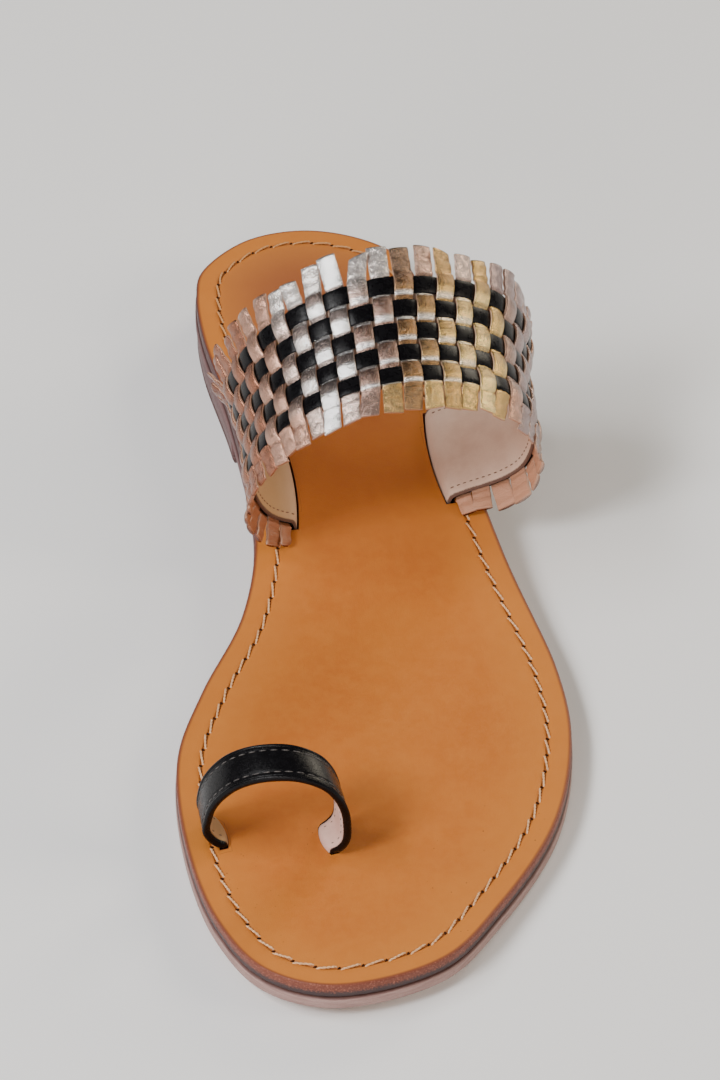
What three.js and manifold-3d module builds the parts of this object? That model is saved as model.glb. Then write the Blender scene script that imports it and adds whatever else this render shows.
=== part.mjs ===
// Flat leather sandal with a woven instep band and a toe loop, left shoe.
// Millimetres, +Z up. The toes point to -Y and the medial side, with the big toe, is -X.
import * as THREE from 'three';
import { mergeVertices } from 'three/addons/utils/BufferGeometryUtils.js';
import Module from 'manifold-3d';

const wasm = await Module();
wasm.setup();

// Sole, overall
const soleLength = 253.4;
const ballWidth = 89.3;
const outsoleThickness = 3.0;
const footbedThickness = 3.7;
const edgeBevel = 0.5;
const outsoleProud = 0.3;
const layerGap = 0.3;

// Heel and bottom profile
const heelHeight = 8.5;
const topPieceThickness = 2.5;
const heelTaper = 0.5;
const toeSpring = 3.5;
const stationShare = { springStart: 0.262, archStart: 0.428, breast: 0.717, heelFlat: 0.783 };

// Instep band: the weave
const bandRows = 5;
const rowPitch = 5.8;
const bandColumns = 35;
const columnGroove = 0.4;
const rowGroove = 0.55;
const liningAndCore = 1.5;
const darkStripRise = 0.4;
const goldStripRise = 1.0;
const medialSqueeze = 0.16;
const squeezeShare = { from: 0.25, to: 0.45 };
const plainLegShare = 0.015;
const edgeSplay = 1.3;

// Instep band: the fringe of strip ends along both edges
const fringeFront = 5.9;
const fringeRear = 6.6;
const fringeRoot = 0.4;
const fringeThickness = 1.1;
const fringeInnerRise = 0.8;
const fringeUneven = 0.7;

// Instep band: the arch over the foot, of the lining face
const bandFrontShare = { medial: 0.5757, lateral: 0.599 };
const bandLean = 0.3;
const bandSection = {
  front: { seatMedial: 9.9, seatLateral: 8.5, bulgeMedial: 10.3, bulgeLateral: 19.1, crown: 51.0 },
  rear: { seatMedial: 10.1, seatLateral: 6.6, bulgeMedial: 11.4, bulgeLateral: 22.9, crown: 57.4 },
};

// Toe loop
const loopWidth = 9.8;
const loopThickness = 1.9;
const loopBevel = 0.45;
const loopLean = 0.1;
const loopFrontShare = 0.1755;
const loopSpan = 22.4;
const loopSkew = 3.6;
const loopSeat = { front: 9.0, rear: 7.6 };
const loopSection = {
  front: { bulgeMedial: 3.7, bulgeLateral: 2.4, crown: 24.0 },
  rear: { bulgeMedial: 2.2, bulgeLateral: 3.2, crown: 25.8 },
};

// Straps in their slots
const slotClearance = 0.3;
const slotFloorGap = 0.5;

// Fineness of the facets
const soleStations = 40;
const heelStations = 14;
const loopSteps = 30;
const outlineSamples = 900;

// Outline of the sole, from the back of the heel along the medial side to the toe and back.
// along: share of the sole length from the toe. across: share of the ball width, medial minus.
const outlineTable = [
  { name: 'heelBack', along: 1.0, across: -0.077 },
  { name: 'heelBackMedial', along: 0.9866, across: -0.235 },
  { name: 'heelCornerMedial', along: 0.9396, across: -0.363 },
  { name: 'heelWideMedial', along: 0.9021, across: -0.382 },
  { name: 'heelSideMedial', along: 0.8382, across: -0.371 },
  { name: 'breastMedial', along: 0.7194, across: -0.307 },
  { name: 'waistMedial', along: 0.5766, across: -0.263 },
  { name: 'shankMedial', along: 0.4759, across: -0.307 },
  { name: 'jointRiseMedial', along: 0.3757, across: -0.424 },
  { name: 'ballMedial', along: 0.2944, across: -0.493 },
  { name: 'bigToeJoint', along: 0.1886, across: -0.484 },
  { name: 'bigToeSide', along: 0.0856, across: -0.415 },
  { name: 'toeCornerMedial', along: 0.0237, across: -0.308 },
  { name: 'toeTip', along: 0.0, across: -0.147 },
  { name: 'toeFront', along: 0.0268, across: 0.114 },
  { name: 'smallToes', along: 0.0916, across: 0.269 },
  { name: 'smallToeSide', along: 0.1934, across: 0.432 },
  { name: 'ballLateral', along: 0.2972, across: 0.498 },
  { name: 'jointFallLateral', along: 0.3883, across: 0.485 },
  { name: 'waistLateral', along: 0.5434, across: 0.382 },
  { name: 'breastLateral', along: 0.704, across: 0.292 },
  { name: 'heelSideLateral', along: 0.8275, across: 0.255 },
  { name: 'heelWideLateral', along: 0.9009, across: 0.241 },
  { name: 'heelCornerLateral', along: 0.9522, across: 0.193 },
  { name: 'heelBackLateral', along: 0.9854, across: 0.077 },
];

// Arch of the band seen from the toes, between its two seats in the footbed.
// out: share of the bulge, from the seat outwards. up: share of the crown height.
const bandLegMedial = [
  { out: 0.0, up: 0.0 },
  { out: 0.06, up: 0.05 },
  { out: 0.3, up: 0.085 },
  { out: 0.56, up: 0.135 },
  { out: 0.78, up: 0.22 },
  { out: 0.91, up: 0.31 },
];
const bandLegLateral = [
  { out: 0.965, up: 0.285 },
  { out: 0.86, up: 0.19 },
  { out: 0.66, up: 0.13 },
  { out: 0.42, up: 0.095 },
  { out: 0.2, up: 0.07 },
  { out: 0.04, up: 0.04 },
  { out: 0.0, up: 0.0 },
];
// across: share of the half width between the two bulges. up: share of the crown height.
const bandArch = [
  { across: -1.0, up: 0.42 },
  { across: -0.965, up: 0.53 },
  { across: -0.87, up: 0.68 },
  { across: -0.7, up: 0.82 },
  { across: -0.48, up: 0.92 },
  { across: -0.22, up: 0.985 },
  { across: 0.04, up: 1.0 },
  { across: 0.28, up: 0.965 },
  { across: 0.52, up: 0.9 },
  { across: 0.74, up: 0.8 },
  { across: 0.885, up: 0.68 },
  { across: 0.965, up: 0.55 },
  { across: 1.0, up: 0.42 },
];

// Arch of the toe loop, with the same columns
const loopLegMedial = [
  { out: 0.0, up: 0.0 },
  { out: 0.08, up: 0.05 },
  { out: 0.58, up: 0.11 },
];
const loopLegLateral = [
  { out: 0.94, up: 0.22 },
  { out: 0.5, up: 0.11 },
  { out: 0.08, up: 0.05 },
  { out: 0.0, up: 0.0 },
];
const loopArch = [
  { across: -1.0, up: 0.22 },
  { across: -0.972, up: 0.4 },
  { across: -0.9, up: 0.56 },
  { across: -0.754, up: 0.715 },
  { across: -0.55, up: 0.85 },
  { across: -0.26, up: 0.95 },
  { across: 0.04, up: 0.996 },
  { across: 0.3, up: 1.0 },
  { across: 0.556, up: 0.955 },
  { across: 0.74, up: 0.88 },
  { across: 0.88, up: 0.755 },
  { across: 0.97, up: 0.592 },
  { across: 1.0, up: 0.417 },
];

// Bend of the front strip ends: towards the foot over the crown, away from it at the legs.
// reach: share of the band's length from its middle.
const fringeBend = [
  { reach: 0.0, degrees: 8 },
  { reach: 0.24, degrees: 8 },
  { reach: 0.35, degrees: -7 },
  { reach: 0.41, degrees: -7 },
  { reach: 0.46, degrees: 0 },
  { reach: 0.5, degrees: 0 },
];

// Leather finishes
const finishes = {
  outsole: { color: 0xa98a80, roughness: 0.7, metalness: 0 },
  heel: { color: 0x6b4a48, roughness: 0.6, metalness: 0 },
  topPiece: { color: 0x5a3f3d, roughness: 0.75, metalness: 0 },
  footbed: { color: 0xbe7b42, roughness: 0.5, metalness: 0 },
  band: { color: 0xc9a083, roughness: 0.35, metalness: 0.7 },
  loop: { color: 0x1b191c, roughness: 0.4, metalness: 0 },
};

const alongToY = (share) => (share - 0.5) * soleLength;
const clamp01 = (t) => Math.min(Math.max(t, 0), 1);
const smoothStep = (t) => clamp01(t) ** 2 * (3 - 2 * clamp01(t));

// Heights of the layers above the floor
const springY = alongToY(stationShare.springStart);
const archY = alongToY(stationShare.archStart);
const breastY = alongToY(stationShare.breast);
const heelFlatY = alongToY(stationShare.heelFlat);

function outsoleBottom(y) {
  const arch = heelHeight * smoothStep((y - archY) / (heelFlatY - archY));
  const spring = toeSpring * clamp01((springY - y) / (springY - alongToY(0))) ** 2;
  return arch + spring;
}
const outsoleTop = (y) => outsoleBottom(y) + outsoleThickness;
const footbedBottom = (y) => outsoleTop(y) + layerGap;
const footbedTop = (y) => footbedBottom(y) + footbedThickness;

// Outline as a closed curve and as a dense run of points
const outlineCurve = new THREE.CatmullRomCurve3(
  outlineTable.map((row) => new THREE.Vector3(row.across * ballWidth, alongToY(row.along), 0)),
  true,
  'centripetal',
);
const outlineDense = outlineCurve.getPoints(outlineSamples);
const toeEnd = outlineDense.reduce((a, b) => (b.y < a.y ? b : a));
const heelEnd = outlineDense.reduce((a, b) => (b.y > a.y ? b : a));

// The two edges of the sole at a given y: medial first, lateral second
function edgesAt(y) {
  const found = [];
  for (let i = 0; i < outlineDense.length - 1; i += 1) {
    const a = outlineDense[i];
    const b = outlineDense[i + 1];
    if ((a.y - y) * (b.y - y) <= 0 && a.y !== b.y) {
      found.push(a.x + ((b.x - a.x) * (y - a.y)) / (b.y - a.y));
    }
  }
  return [Math.min(...found), Math.max(...found)];
}

// A ring of points: the low-y end, the medial side, the high-y end and the lateral side back
function soleRing(count) {
  const medial = [];
  const lateral = [];
  for (let i = 1; i < count; i += 1) {
    const share = 0.5 - 0.5 * Math.cos((Math.PI * i) / count);
    const y = toeEnd.y + (heelEnd.y - toeEnd.y) * share;
    const [left, right] = edgesAt(y);
    medial.push(new THREE.Vector2(left, y));
    lateral.push(new THREE.Vector2(right, y));
  }
  const tip = new THREE.Vector2(toeEnd.x, toeEnd.y);
  const back = new THREE.Vector2(heelEnd.x, heelEnd.y);
  return [tip, ...medial, back, ...lateral.reverse()];
}

// The heel's ring starts with its straight breast, whose middle is the low-y end
function heelRing(count) {
  const medial = [];
  const lateral = [];
  for (let i = 0; i < count; i += 1) {
    const y = breastY + (heelEnd.y - breastY) * Math.sin((0.5 * Math.PI * i) / count);
    const [left, right] = edgesAt(y);
    medial.push(new THREE.Vector2(left, y));
    lateral.push(new THREE.Vector2(right, y));
  }
  const middle = new THREE.Vector2((medial[0].x + lateral[0].x) / 2, breastY);
  const back = new THREE.Vector2(heelEnd.x, heelEnd.y);
  return [middle, ...medial, back, ...lateral.reverse()];
}

// Moves a ring inwards, with a mitre at each of its points
function insetRing(ring, distance) {
  const inward = (a, b) => {
    const edge = b.clone().sub(a).normalize();
    return new THREE.Vector2(edge.y, -edge.x);
  };
  return ring.map((point, i) => {
    const before = inward(ring[(i + ring.length - 1) % ring.length], point);
    const after = inward(point, ring[(i + 1) % ring.length]);
    const mitre = before.clone().add(after).divideScalar(1 + before.dot(after));
    return point.clone().addScaledVector(mitre, distance);
  });
}

function geometryFrom(positions, triangles) {
  const geometry = new THREE.BufferGeometry();
  geometry.setAttribute('position', new THREE.Float32BufferAttribute(positions, 3));
  geometry.setIndex(triangles);
  geometry.computeVertexNormals();
  return geometry;
}

// A plate: rings stacked from the bottom face to the top face, closed by strips across the sole
function plate(levels) {
  const size = levels[0].ring.length;
  const positions = [];
  const triangles = [];
  for (const level of levels) {
    for (const point of level.ring) {
      positions.push(point.x, point.y, level.height(point.y));
    }
  }
  for (let k = 0; k < levels.length - 1; k += 1) {
    for (let i = 0; i < size; i += 1) {
      const a = k * size + i;
      const b = k * size + ((i + 1) % size);
      triangles.push(a, a + size, b, b, a + size, b + size);
    }
  }
  const half = size / 2;
  const top = (levels.length - 1) * size;
  for (let i = 0; i < half; i += 1) {
    const a = i;
    const b = i + 1;
    const c = size - i - 1;
    const d = (size - i) % size;
    if (a !== d) {
      triangles.push(a, b, d);
      triangles.push(top + a, top + d, top + b);
    }
    if (b !== c) {
      triangles.push(b, c, d);
      triangles.push(top + b, top + d, top + c);
    }
  }
  return geometryFrom(positions, triangles);
}

// The four rings of a leather layer with bevelled edges
function layer(ring, bottom, top, bottomInset) {
  return plate([
    { ring: insetRing(ring, bottomInset + edgeBevel), height: bottom },
    { ring: insetRing(ring, bottomInset), height: (y) => bottom(y) + edgeBevel },
    { ring, height: (y) => top(y) - edgeBevel },
    { ring: insetRing(ring, edgeBevel), height: top },
  ]);
}

function toSolid(geometry) {
  const bare = geometry.clone();
  bare.deleteAttribute('normal');
  bare.deleteAttribute('uv');
  const merged = mergeVertices(bare);
  return new wasm.Manifold(new wasm.Mesh({
    numProp: 3,
    vertProperties: new Float32Array(merged.attributes.position.array),
    triVerts: new Uint32Array(merged.index.array),
  }));
}

function toGeometry(solid) {
  const mesh = solid.getMesh();
  return geometryFrom(Array.from(mesh.vertProperties), Array.from(mesh.triVerts));
}

// An upright box on the four corners of a slot, cut right through the footbed
function slotCutter(corners) {
  const low = corners.map((c) => [c.x, c.y, footbedBottom(c.y) - footbedThickness]);
  const high = corners.map((c) => [c.x, c.y, footbedTop(c.y) + footbedThickness]);
  const sides = [];
  for (let i = 0; i < 4; i += 1) {
    const j = (i + 1) % 4;
    sides.push(i, j, i + 4, j, j + 4, i + 4);
  }
  return toSolid(geometryFrom([...low, ...high].flat(), [0, 2, 1, 0, 3, 2, 4, 5, 6, 4, 6, 7, ...sides]));
}

// Corners of a slot round the foot of a strap, which stands on the line from front to rear.
// outward is -1 on the medial side and 1 on the lateral side.
function slotCorners(front, rear, thickness, outward) {
  const run = new THREE.Vector2(rear.x - front.x, rear.y - front.y).normalize();
  const out = new THREE.Vector2(run.y, -run.x).multiplyScalar(outward);
  const corner = (end, back, side) => new THREE.Vector2(end.x, end.y)
    .addScaledVector(run, back).addScaledVector(out, side);
  const inner = -slotClearance;
  const outer = thickness + slotClearance;
  const corners = [
    corner(front, -slotClearance, inner),
    corner(front, -slotClearance, outer),
    corner(rear, slotClearance, outer),
    corner(rear, slotClearance, inner),
  ];
  return outward > 0 ? corners : corners.reverse();
}

// One edge of a strap as a curve over the foot: seats, legs and arch joined
function archCurve({ medial, lateral, size, legMedial, arch, legLateral, lean }) {
  const limbMedial = medial.x - size.bulgeMedial;
  const limbLateral = lateral.x + size.bulgeLateral;
  const middle = (limbMedial + limbLateral) / 2;
  const half = (limbLateral - limbMedial) / 2;
  const place = (x, up) => {
    const share = (x - medial.x) / (lateral.x - medial.x);
    const y = medial.y + (lateral.y - medial.y) * share;
    const z = medial.z + (lateral.z - medial.z) * clamp01(share);
    return new THREE.Vector3(x, y - lean * size.crown * up, z + size.crown * up);
  };
  const curve = new THREE.CatmullRomCurve3([
    ...legMedial.map((row) => place(medial.x - size.bulgeMedial * row.out, row.up)),
    ...arch.map((row) => place(middle + half * row.across, row.up)),
    ...legLateral.map((row) => place(lateral.x + size.bulgeLateral * row.out, row.up)),
  ], false, 'centripetal');
  curve.arcLengthDivisions = 800;
  return curve;
}

// A point on the footbed's top
const onFootbed = (x, y) => new THREE.Vector3(x, y, footbedTop(y));

// Where the strap stands at a share of its length: its two edge points, ruling and outward normal
function strapStation(front, rear, share) {
  const f = front.getPointAt(share);
  const r = rear.getPointAt(share);
  const ruling = r.clone().sub(f);
  const tangent = front.getTangentAt(share).add(rear.getTangentAt(share)).normalize();
  const normal = new THREE.Vector3().crossVectors(tangent, ruling).normalize();
  return { f, ruling, unit: ruling.clone().normalize(), width: ruling.length(), normal };
}

// The foot of a strap, let down into its slot as far as the outsole allows
function sunkStation(station) {
  const f = station.f.clone();
  const r = station.f.clone().add(station.ruling);
  f.z = outsoleTop(f.y) + slotFloorGap;
  r.z = outsoleTop(r.y) + slotFloorGap;
  const ruling = r.clone().sub(f);
  const flat = new THREE.Vector3(station.normal.x, station.normal.y, 0).normalize();
  return { f, ruling, unit: ruling.clone().normalize(), width: ruling.length(), normal: flat };
}

// A foot station whose wall stands upright in the slot
function uprightStation(station) {
  const flat = new THREE.Vector3(station.normal.x, station.normal.y, 0).normalize();
  return { ...station, normal: flat };
}

// A wall on a grid of stations and lines, with an outer and an inner point at each crossing.
// Cells that are not present are left open, and every open edge gets a side wall.
function gridWall(outer, inner, present) {
  const rows = outer.length;
  const lines = outer[0].length;
  const positions = [];
  for (const sheet of [outer, inner]) {
    for (const row of sheet) {
      for (const p of row) {
        positions.push(p.x, p.y, p.z);
      }
    }
  }
  const at = (i, j) => i * lines + j;
  const under = rows * lines;
  const has = (i, j) => i >= 0 && j >= 0 && i < rows - 1 && j < lines - 1 && present(i, j);
  const triangles = [];
  const side = (p, q) => triangles.push(p, p + under, q, q, p + under, q + under);
  for (let i = 0; i < rows - 1; i += 1) {
    for (let j = 0; j < lines - 1; j += 1) {
      if (has(i, j)) {
        const a = at(i, j);
        const b = at(i + 1, j);
        const c = at(i + 1, j + 1);
        const d = at(i, j + 1);
        triangles.push(a, b, c, a, c, d);
        triangles.push(a + under, c + under, b + under, a + under, d + under, c + under);
        if (!has(i, j - 1)) {
          side(a, b);
        }
        if (!has(i + 1, j)) {
          side(b, c);
        }
        if (!has(i, j + 1)) {
          side(c, d);
        }
        if (!has(i - 1, j)) {
          side(d, a);
        }
      }
    }
  }
  const geometry = geometryFrom(positions, triangles);
  geometry.deleteAttribute('normal');
  const used = mergeVertices(geometry);
  used.computeVertexNormals();
  return used;
}

// Seats of the band on the footbed, at the front and rear edge of the weave
const bandWidth = bandRows * rowPitch;
function bandSeats(edge) {
  const size = bandSection[edge];
  const back = edge === 'rear' ? bandWidth : 0;
  const medialY = alongToY(bandFrontShare.medial) + back;
  const lateralY = alongToY(bandFrontShare.lateral) + back;
  return {
    size,
    medial: onFootbed(edgesAt(medialY)[0] + size.seatMedial, medialY),
    lateral: onFootbed(edgesAt(lateralY)[1] - size.seatLateral, lateralY),
  };
}
const bandFrontSeats = bandSeats('front');
const bandRearSeats = bandSeats('rear');

// Seats of the toe loop
function loopSeats(edge) {
  const size = loopSection[edge];
  const back = edge === 'rear' ? loopWidth : 0;
  const medialY = alongToY(loopFrontShare) + back;
  const medialX = edgesAt(medialY)[0] + loopSeat[edge];
  const lateralY = medialY - loopSkew;
  return {
    size,
    medial: onFootbed(medialX, medialY),
    lateral: onFootbed(medialX + loopSpan, lateralY),
  };
}
const loopFrontSeats = loopSeats('front');
const loopRearSeats = loopSeats('rear');

// Share of the band's length at the start of a column; the medial columns are a little narrower
function columnShares() {
  const steps = 400;
  const { from, to } = squeezeShare;
  const totals = [0];
  for (let i = 0; i < steps; i += 1) {
    const widening = smoothStep(((i + 0.5) / steps - from) / (to - from));
    totals.push(totals[i] + 1 / (1 - medialSqueeze * (1 - widening)));
  }
  const shares = [];
  for (let k = 0; k <= bandColumns; k += 1) {
    const goal = (totals[steps] * k) / bandColumns;
    let i = 0;
    while (i < steps - 1 && totals[i + 1] < goal) {
      i += 1;
    }
    const local = (goal - totals[i]) / (totals[i + 1] - totals[i]);
    const share = (i + clamp01(local)) / steps;
    shares.push(plainLegShare + (1 - 2 * plainLegShare) * share);
  }
  return shares;
}

// Gold lies on top where column and row are both even or both odd
const goldOnTop = (column, row) => (column + row) % 2 === 0;
const stripRise = (column, row) => (goldOnTop(column, row) ? goldStripRise : darkStripRise);

// A repeatable unevenness between -1 and 1 for the cut strip ends
const uneven = (k) => Math.sin(k * 2.4 + 0.7) * Math.cos(k * 1.3);

function instepBand() {
  const pieces = { legMedial: bandLegMedial, arch: bandArch, legLateral: bandLegLateral, lean: bandLean };
  const front = archCurve({ ...bandFrontSeats, ...pieces });
  const rear = archCurve({ ...bandRearSeats, ...pieces });
  const length = (front.getLength() + rear.getLength()) / 2;
  const groove = columnGroove / length;

  // Stations along the band: kind is leg, groove, left or right edge of a strip
  const stations = [];
  const starts = columnShares();
  const first = strapStation(front, rear, 0);
  const last = strapStation(front, rear, 1);
  stations.push({ kind: 'leg', ...sunkStation(first) });
  stations.push({ kind: 'leg', ...uprightStation(first) });
  stations.push({ kind: 'leg', ...strapStation(front, rear, starts[0] / 2) });
  for (let k = 0; k < bandColumns; k += 1) {
    const share = (s) => strapStation(front, rear, s);
    stations.push({ kind: 'groove', share: starts[k], ...share(starts[k]) });
    stations.push({ kind: 'strip', column: k, share: starts[k], ...share(starts[k] + groove) });
    stations.push({ kind: 'strip', column: k, share: starts[k], ...share(starts[k + 1] - groove) });
  }
  const end = starts[bandColumns];
  stations.push({ kind: 'groove', share: end, ...strapStation(front, rear, end) });
  stations.push({ kind: 'leg', ...strapStation(front, rear, (1 + end) / 2) });
  stations.push({ kind: 'leg', ...uprightStation(last) });
  stations.push({ kind: 'leg', ...sunkStation(last) });

  // Lines from the front fringe's tips to the rear fringe's tips
  const lines = [{ kind: 'tipFront' }, { kind: 'rootFront' }];
  for (let row = 0; row < bandRows; row += 1) {
    lines.push({ kind: 'row', row, at: row + rowGroove / rowPitch });
    lines.push({ kind: 'row', row, at: row + 1 - rowGroove / rowPitch });
  }
  lines.push({ kind: 'rootRear' }, { kind: 'tipRear' });

  function frontBend(share) {
    const reach = Math.abs(share - 0.5);
    const next = Math.max(fringeBend.findIndex((row) => row.reach >= reach), 1);
    const [low, high] = [fringeBend[next - 1], fringeBend[next]];
    const local = (reach - low.reach) / (high.reach - low.reach);
    return THREE.MathUtils.degToRad(THREE.MathUtils.lerp(low.degrees, high.degrees, local));
  }
  const tabMiddle = fringeInnerRise + fringeThickness / 2;

  // Place and wall of one crossing: mm along the ruling, and the two offsets along the normal
  function crossing(station, line) {
    const isLeg = station.kind === 'leg';
    const isStrip = station.kind === 'strip';
    const column = station.column ?? 0;
    const base = { inner: 0, outer: liningAndCore };
    if (line.kind === 'row') {
      const rise = isStrip ? stripRise(column, line.row) : 0;
      const share = line.at / bandRows;
      const waist = isLeg ? 0 : edgeSplay * 4 * share * (1 - share);
      return { along: station.width * share, inner: -waist, outer: liningAndCore + rise - waist };
    }
    const rearSide = line.kind.endsWith('Rear');
    const origin = rearSide ? station.width : 0;
    const way = rearSide ? 1 : -1;
    if (line.kind.startsWith('root') || !isStrip) {
      const along = origin + way * fringeRoot;
      return isStrip
        ? { along, inner: fringeInnerRise / 2, outer: tabMiddle + fringeThickness / 2 }
        : { along, ...base };
    }
    const seed = column + (rearSide ? 40 : 0);
    const reach = (rearSide ? fringeRear : fringeFront) + fringeUneven * uneven(seed);
    const bend = rearSide ? 0 : frontBend(station.share);
    const lift = tabMiddle - reach * Math.sin(bend) + fringeUneven * uneven(seed + 7) * 0.8;
    return {
      along: origin + way * reach * Math.cos(bend),
      inner: lift - fringeThickness / 2,
      outer: lift + fringeThickness / 2,
    };
  }
  const point = (station, along, offset) => station.f.clone()
    .addScaledVector(station.unit, along).addScaledVector(station.normal, offset);
  const grid = (side) => stations.map((station) => lines.map((line) => {
    const c = crossing(station, line);
    return point(station, c.along, c[side]);
  }));

  // The fringe is there only between the two edges of a strip
  const present = (i, j) => {
    const inFringe = j === 0 || j === lines.length - 2;
    return !inFringe || (stations[i].kind === 'strip' && stations[i + 1].kind === 'strip');
  };
  return gridWall(grid('outer'), grid('inner'), present);
}

function toeLoop() {
  const pieces = { legMedial: loopLegMedial, arch: loopArch, legLateral: loopLegLateral, lean: loopLean };
  const front = archCurve({ ...loopFrontSeats, ...pieces });
  const rear = archCurve({ ...loopRearSeats, ...pieces });
  const stations = [];
  for (let i = 0; i <= loopSteps; i += 1) {
    stations.push(strapStation(front, rear, i / loopSteps));
  }
  const all = [
    sunkStation(stations[0]),
    uprightStation(stations[0]),
    ...stations.slice(1, -1),
    uprightStation(stations[loopSteps]),
    sunkStation(stations[loopSteps]),
  ];
  // Section of the strap, all round: along the ruling from the front, and out from the lining
  const section = (width) => [
    [loopBevel, 0],
    [0, loopBevel],
    [0, loopThickness - loopBevel],
    [loopBevel, loopThickness],
    [width - loopBevel, loopThickness],
    [width, loopThickness - loopBevel],
    [width, loopBevel],
    [width - loopBevel, 0],
  ];
  const positions = [];
  const triangles = [];
  for (const station of all) {
    for (const [along, offset] of section(station.width)) {
      const p = station.f.clone().addScaledVector(station.unit, along)
        .addScaledVector(station.normal, offset);
      positions.push(p.x, p.y, p.z);
    }
  }
  const size = section(loopWidth).length;
  for (let i = 0; i < all.length - 1; i += 1) {
    for (let k = 0; k < size; k += 1) {
      const a = i * size + k;
      const b = i * size + ((k + 1) % size);
      triangles.push(a, a + size, b, b, a + size, b + size);
    }
  }
  const end = (all.length - 1) * size;
  for (let k = 1; k < size - 1; k += 1) {
    triangles.push(0, k, k + 1);
    triangles.push(end, end + k + 1, end + k);
  }
  return geometryFrom(positions, triangles);
}

function footbed() {
  let solid = toSolid(layer(soleRing(soleStations), footbedBottom, footbedTop, 0));
  const seats = [
    [bandFrontSeats, bandRearSeats, liningAndCore, fringeRoot],
    [loopFrontSeats, loopRearSeats, loopThickness, 0],
  ];
  for (const [frontSeats, rearSeats, thickness, extra] of seats) {
    for (const [sideName, outward] of [['medial', -1], ['lateral', 1]]) {
      const front = frontSeats[sideName].clone();
      const rear = rearSeats[sideName].clone();
      const run = rear.clone().sub(front).setZ(0).normalize();
      front.addScaledVector(run, -extra);
      rear.addScaledVector(run, extra);
      solid = solid.subtract(slotCutter(slotCorners(front, rear, thickness, outward)));
    }
  }
  return toGeometry(solid);
}

function outsole() {
  const ring = insetRing(soleRing(soleStations), -outsoleProud);
  return layer(ring, outsoleBottom, outsoleTop, 0);
}

function heelBlock() {
  const ring = heelRing(heelStations);
  const bottom = () => topPieceThickness + layerGap;
  return layer(ring, bottom, (y) => outsoleBottom(y) - layerGap, 0);
}

function heelTopPiece() {
  return layer(heelRing(heelStations), () => 0, () => topPieceThickness, heelTaper);
}

function addPiece(group, name, geometry, finish) {
  const mesh = new THREE.Mesh(geometry, new THREE.MeshStandardMaterial(finishes[finish]));
  mesh.name = name;
  group.add(mesh);
}

const group = new THREE.Group();
addPiece(group, 'outsole', outsole(), 'outsole');
addPiece(group, 'heel_block', heelBlock(), 'heel');
addPiece(group, 'heel_top_piece', heelTopPiece(), 'topPiece');
addPiece(group, 'footbed', footbed(), 'footbed');
addPiece(group, 'instep_band', instepBand(), 'band');
addPiece(group, 'toe_loop', toeLoop(), 'loop');

// The origin is the middle of the whole on the floor
const box = new THREE.Box3().setFromObject(group, true);
const centre = box.getCenter(new THREE.Vector3());
group.position.set(-centre.x, -centre.y, -box.min.z);

export default group;
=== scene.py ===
"""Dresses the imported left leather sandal: sole, woven instep band, toe loop, studio and camera.

Every surface is a function of two parameters worked out with numpy, in millimetres in the
part's own frame: the toes point to -Y, the big toe's side is -X and the floor is z = 0.
"""
import logging
import math
from dataclasses import dataclass, field
from enum import Enum
from typing import Callable, Sequence

import bmesh
import bpy
import numpy as np
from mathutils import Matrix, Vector


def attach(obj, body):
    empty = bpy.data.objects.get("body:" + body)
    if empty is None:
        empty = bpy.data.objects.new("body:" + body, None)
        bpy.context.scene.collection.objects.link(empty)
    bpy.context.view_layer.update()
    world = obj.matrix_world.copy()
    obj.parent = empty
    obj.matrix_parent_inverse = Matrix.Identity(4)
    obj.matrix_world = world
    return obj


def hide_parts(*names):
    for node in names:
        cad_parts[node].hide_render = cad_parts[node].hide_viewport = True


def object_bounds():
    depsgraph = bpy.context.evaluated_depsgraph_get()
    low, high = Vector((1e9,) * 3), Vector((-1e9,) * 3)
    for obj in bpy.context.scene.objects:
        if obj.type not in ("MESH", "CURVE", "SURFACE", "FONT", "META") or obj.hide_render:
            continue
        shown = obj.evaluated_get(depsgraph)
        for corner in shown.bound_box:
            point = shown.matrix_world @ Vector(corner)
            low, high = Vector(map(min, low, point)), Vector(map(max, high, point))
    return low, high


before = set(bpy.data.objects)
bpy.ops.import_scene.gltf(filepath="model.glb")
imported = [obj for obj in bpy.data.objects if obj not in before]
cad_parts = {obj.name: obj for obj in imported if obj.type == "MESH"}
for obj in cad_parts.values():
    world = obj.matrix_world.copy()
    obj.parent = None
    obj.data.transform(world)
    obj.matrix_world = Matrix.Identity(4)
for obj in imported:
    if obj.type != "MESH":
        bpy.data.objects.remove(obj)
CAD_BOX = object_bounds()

Array = np.ndarray
Colour = tuple[float, float, float]
Pair = tuple[float, float]
Triple = tuple[float, float, float]
Socket = bpy.types.NodeSocket
Placing = Callable[[Array, Array, Array], Array]
Height = Callable[[Array], Array]

MM = 0.001
MILLIMETRES = (1000, 1000, 1000)
BODY = "root"
log = logging.getLogger("sandal")


# Curves and small sums


def even(height: float) -> Height:
    """Returns the function that gives one height at every y."""
    return lambda y: height + 0.0 * y


def smooth_step(t: Array) -> Array:
    """Returns 3t^2 - 2t^3 with t held between 0 and 1."""
    held = np.clip(t, 0.0, 1.0)
    return held * held * (3.0 - 2.0 * held)


def lerp(a: Array, b: Array, t: Array) -> Array:
    """Returns the straight mix a + (b - a) t."""
    return a + (b - a) * t


def unit(vectors: Array) -> Array:
    """Returns the vectors, along the last axis, at length one."""
    return vectors / np.maximum(np.linalg.norm(vectors, axis=-1, keepdims=True), 1e-12)


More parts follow.
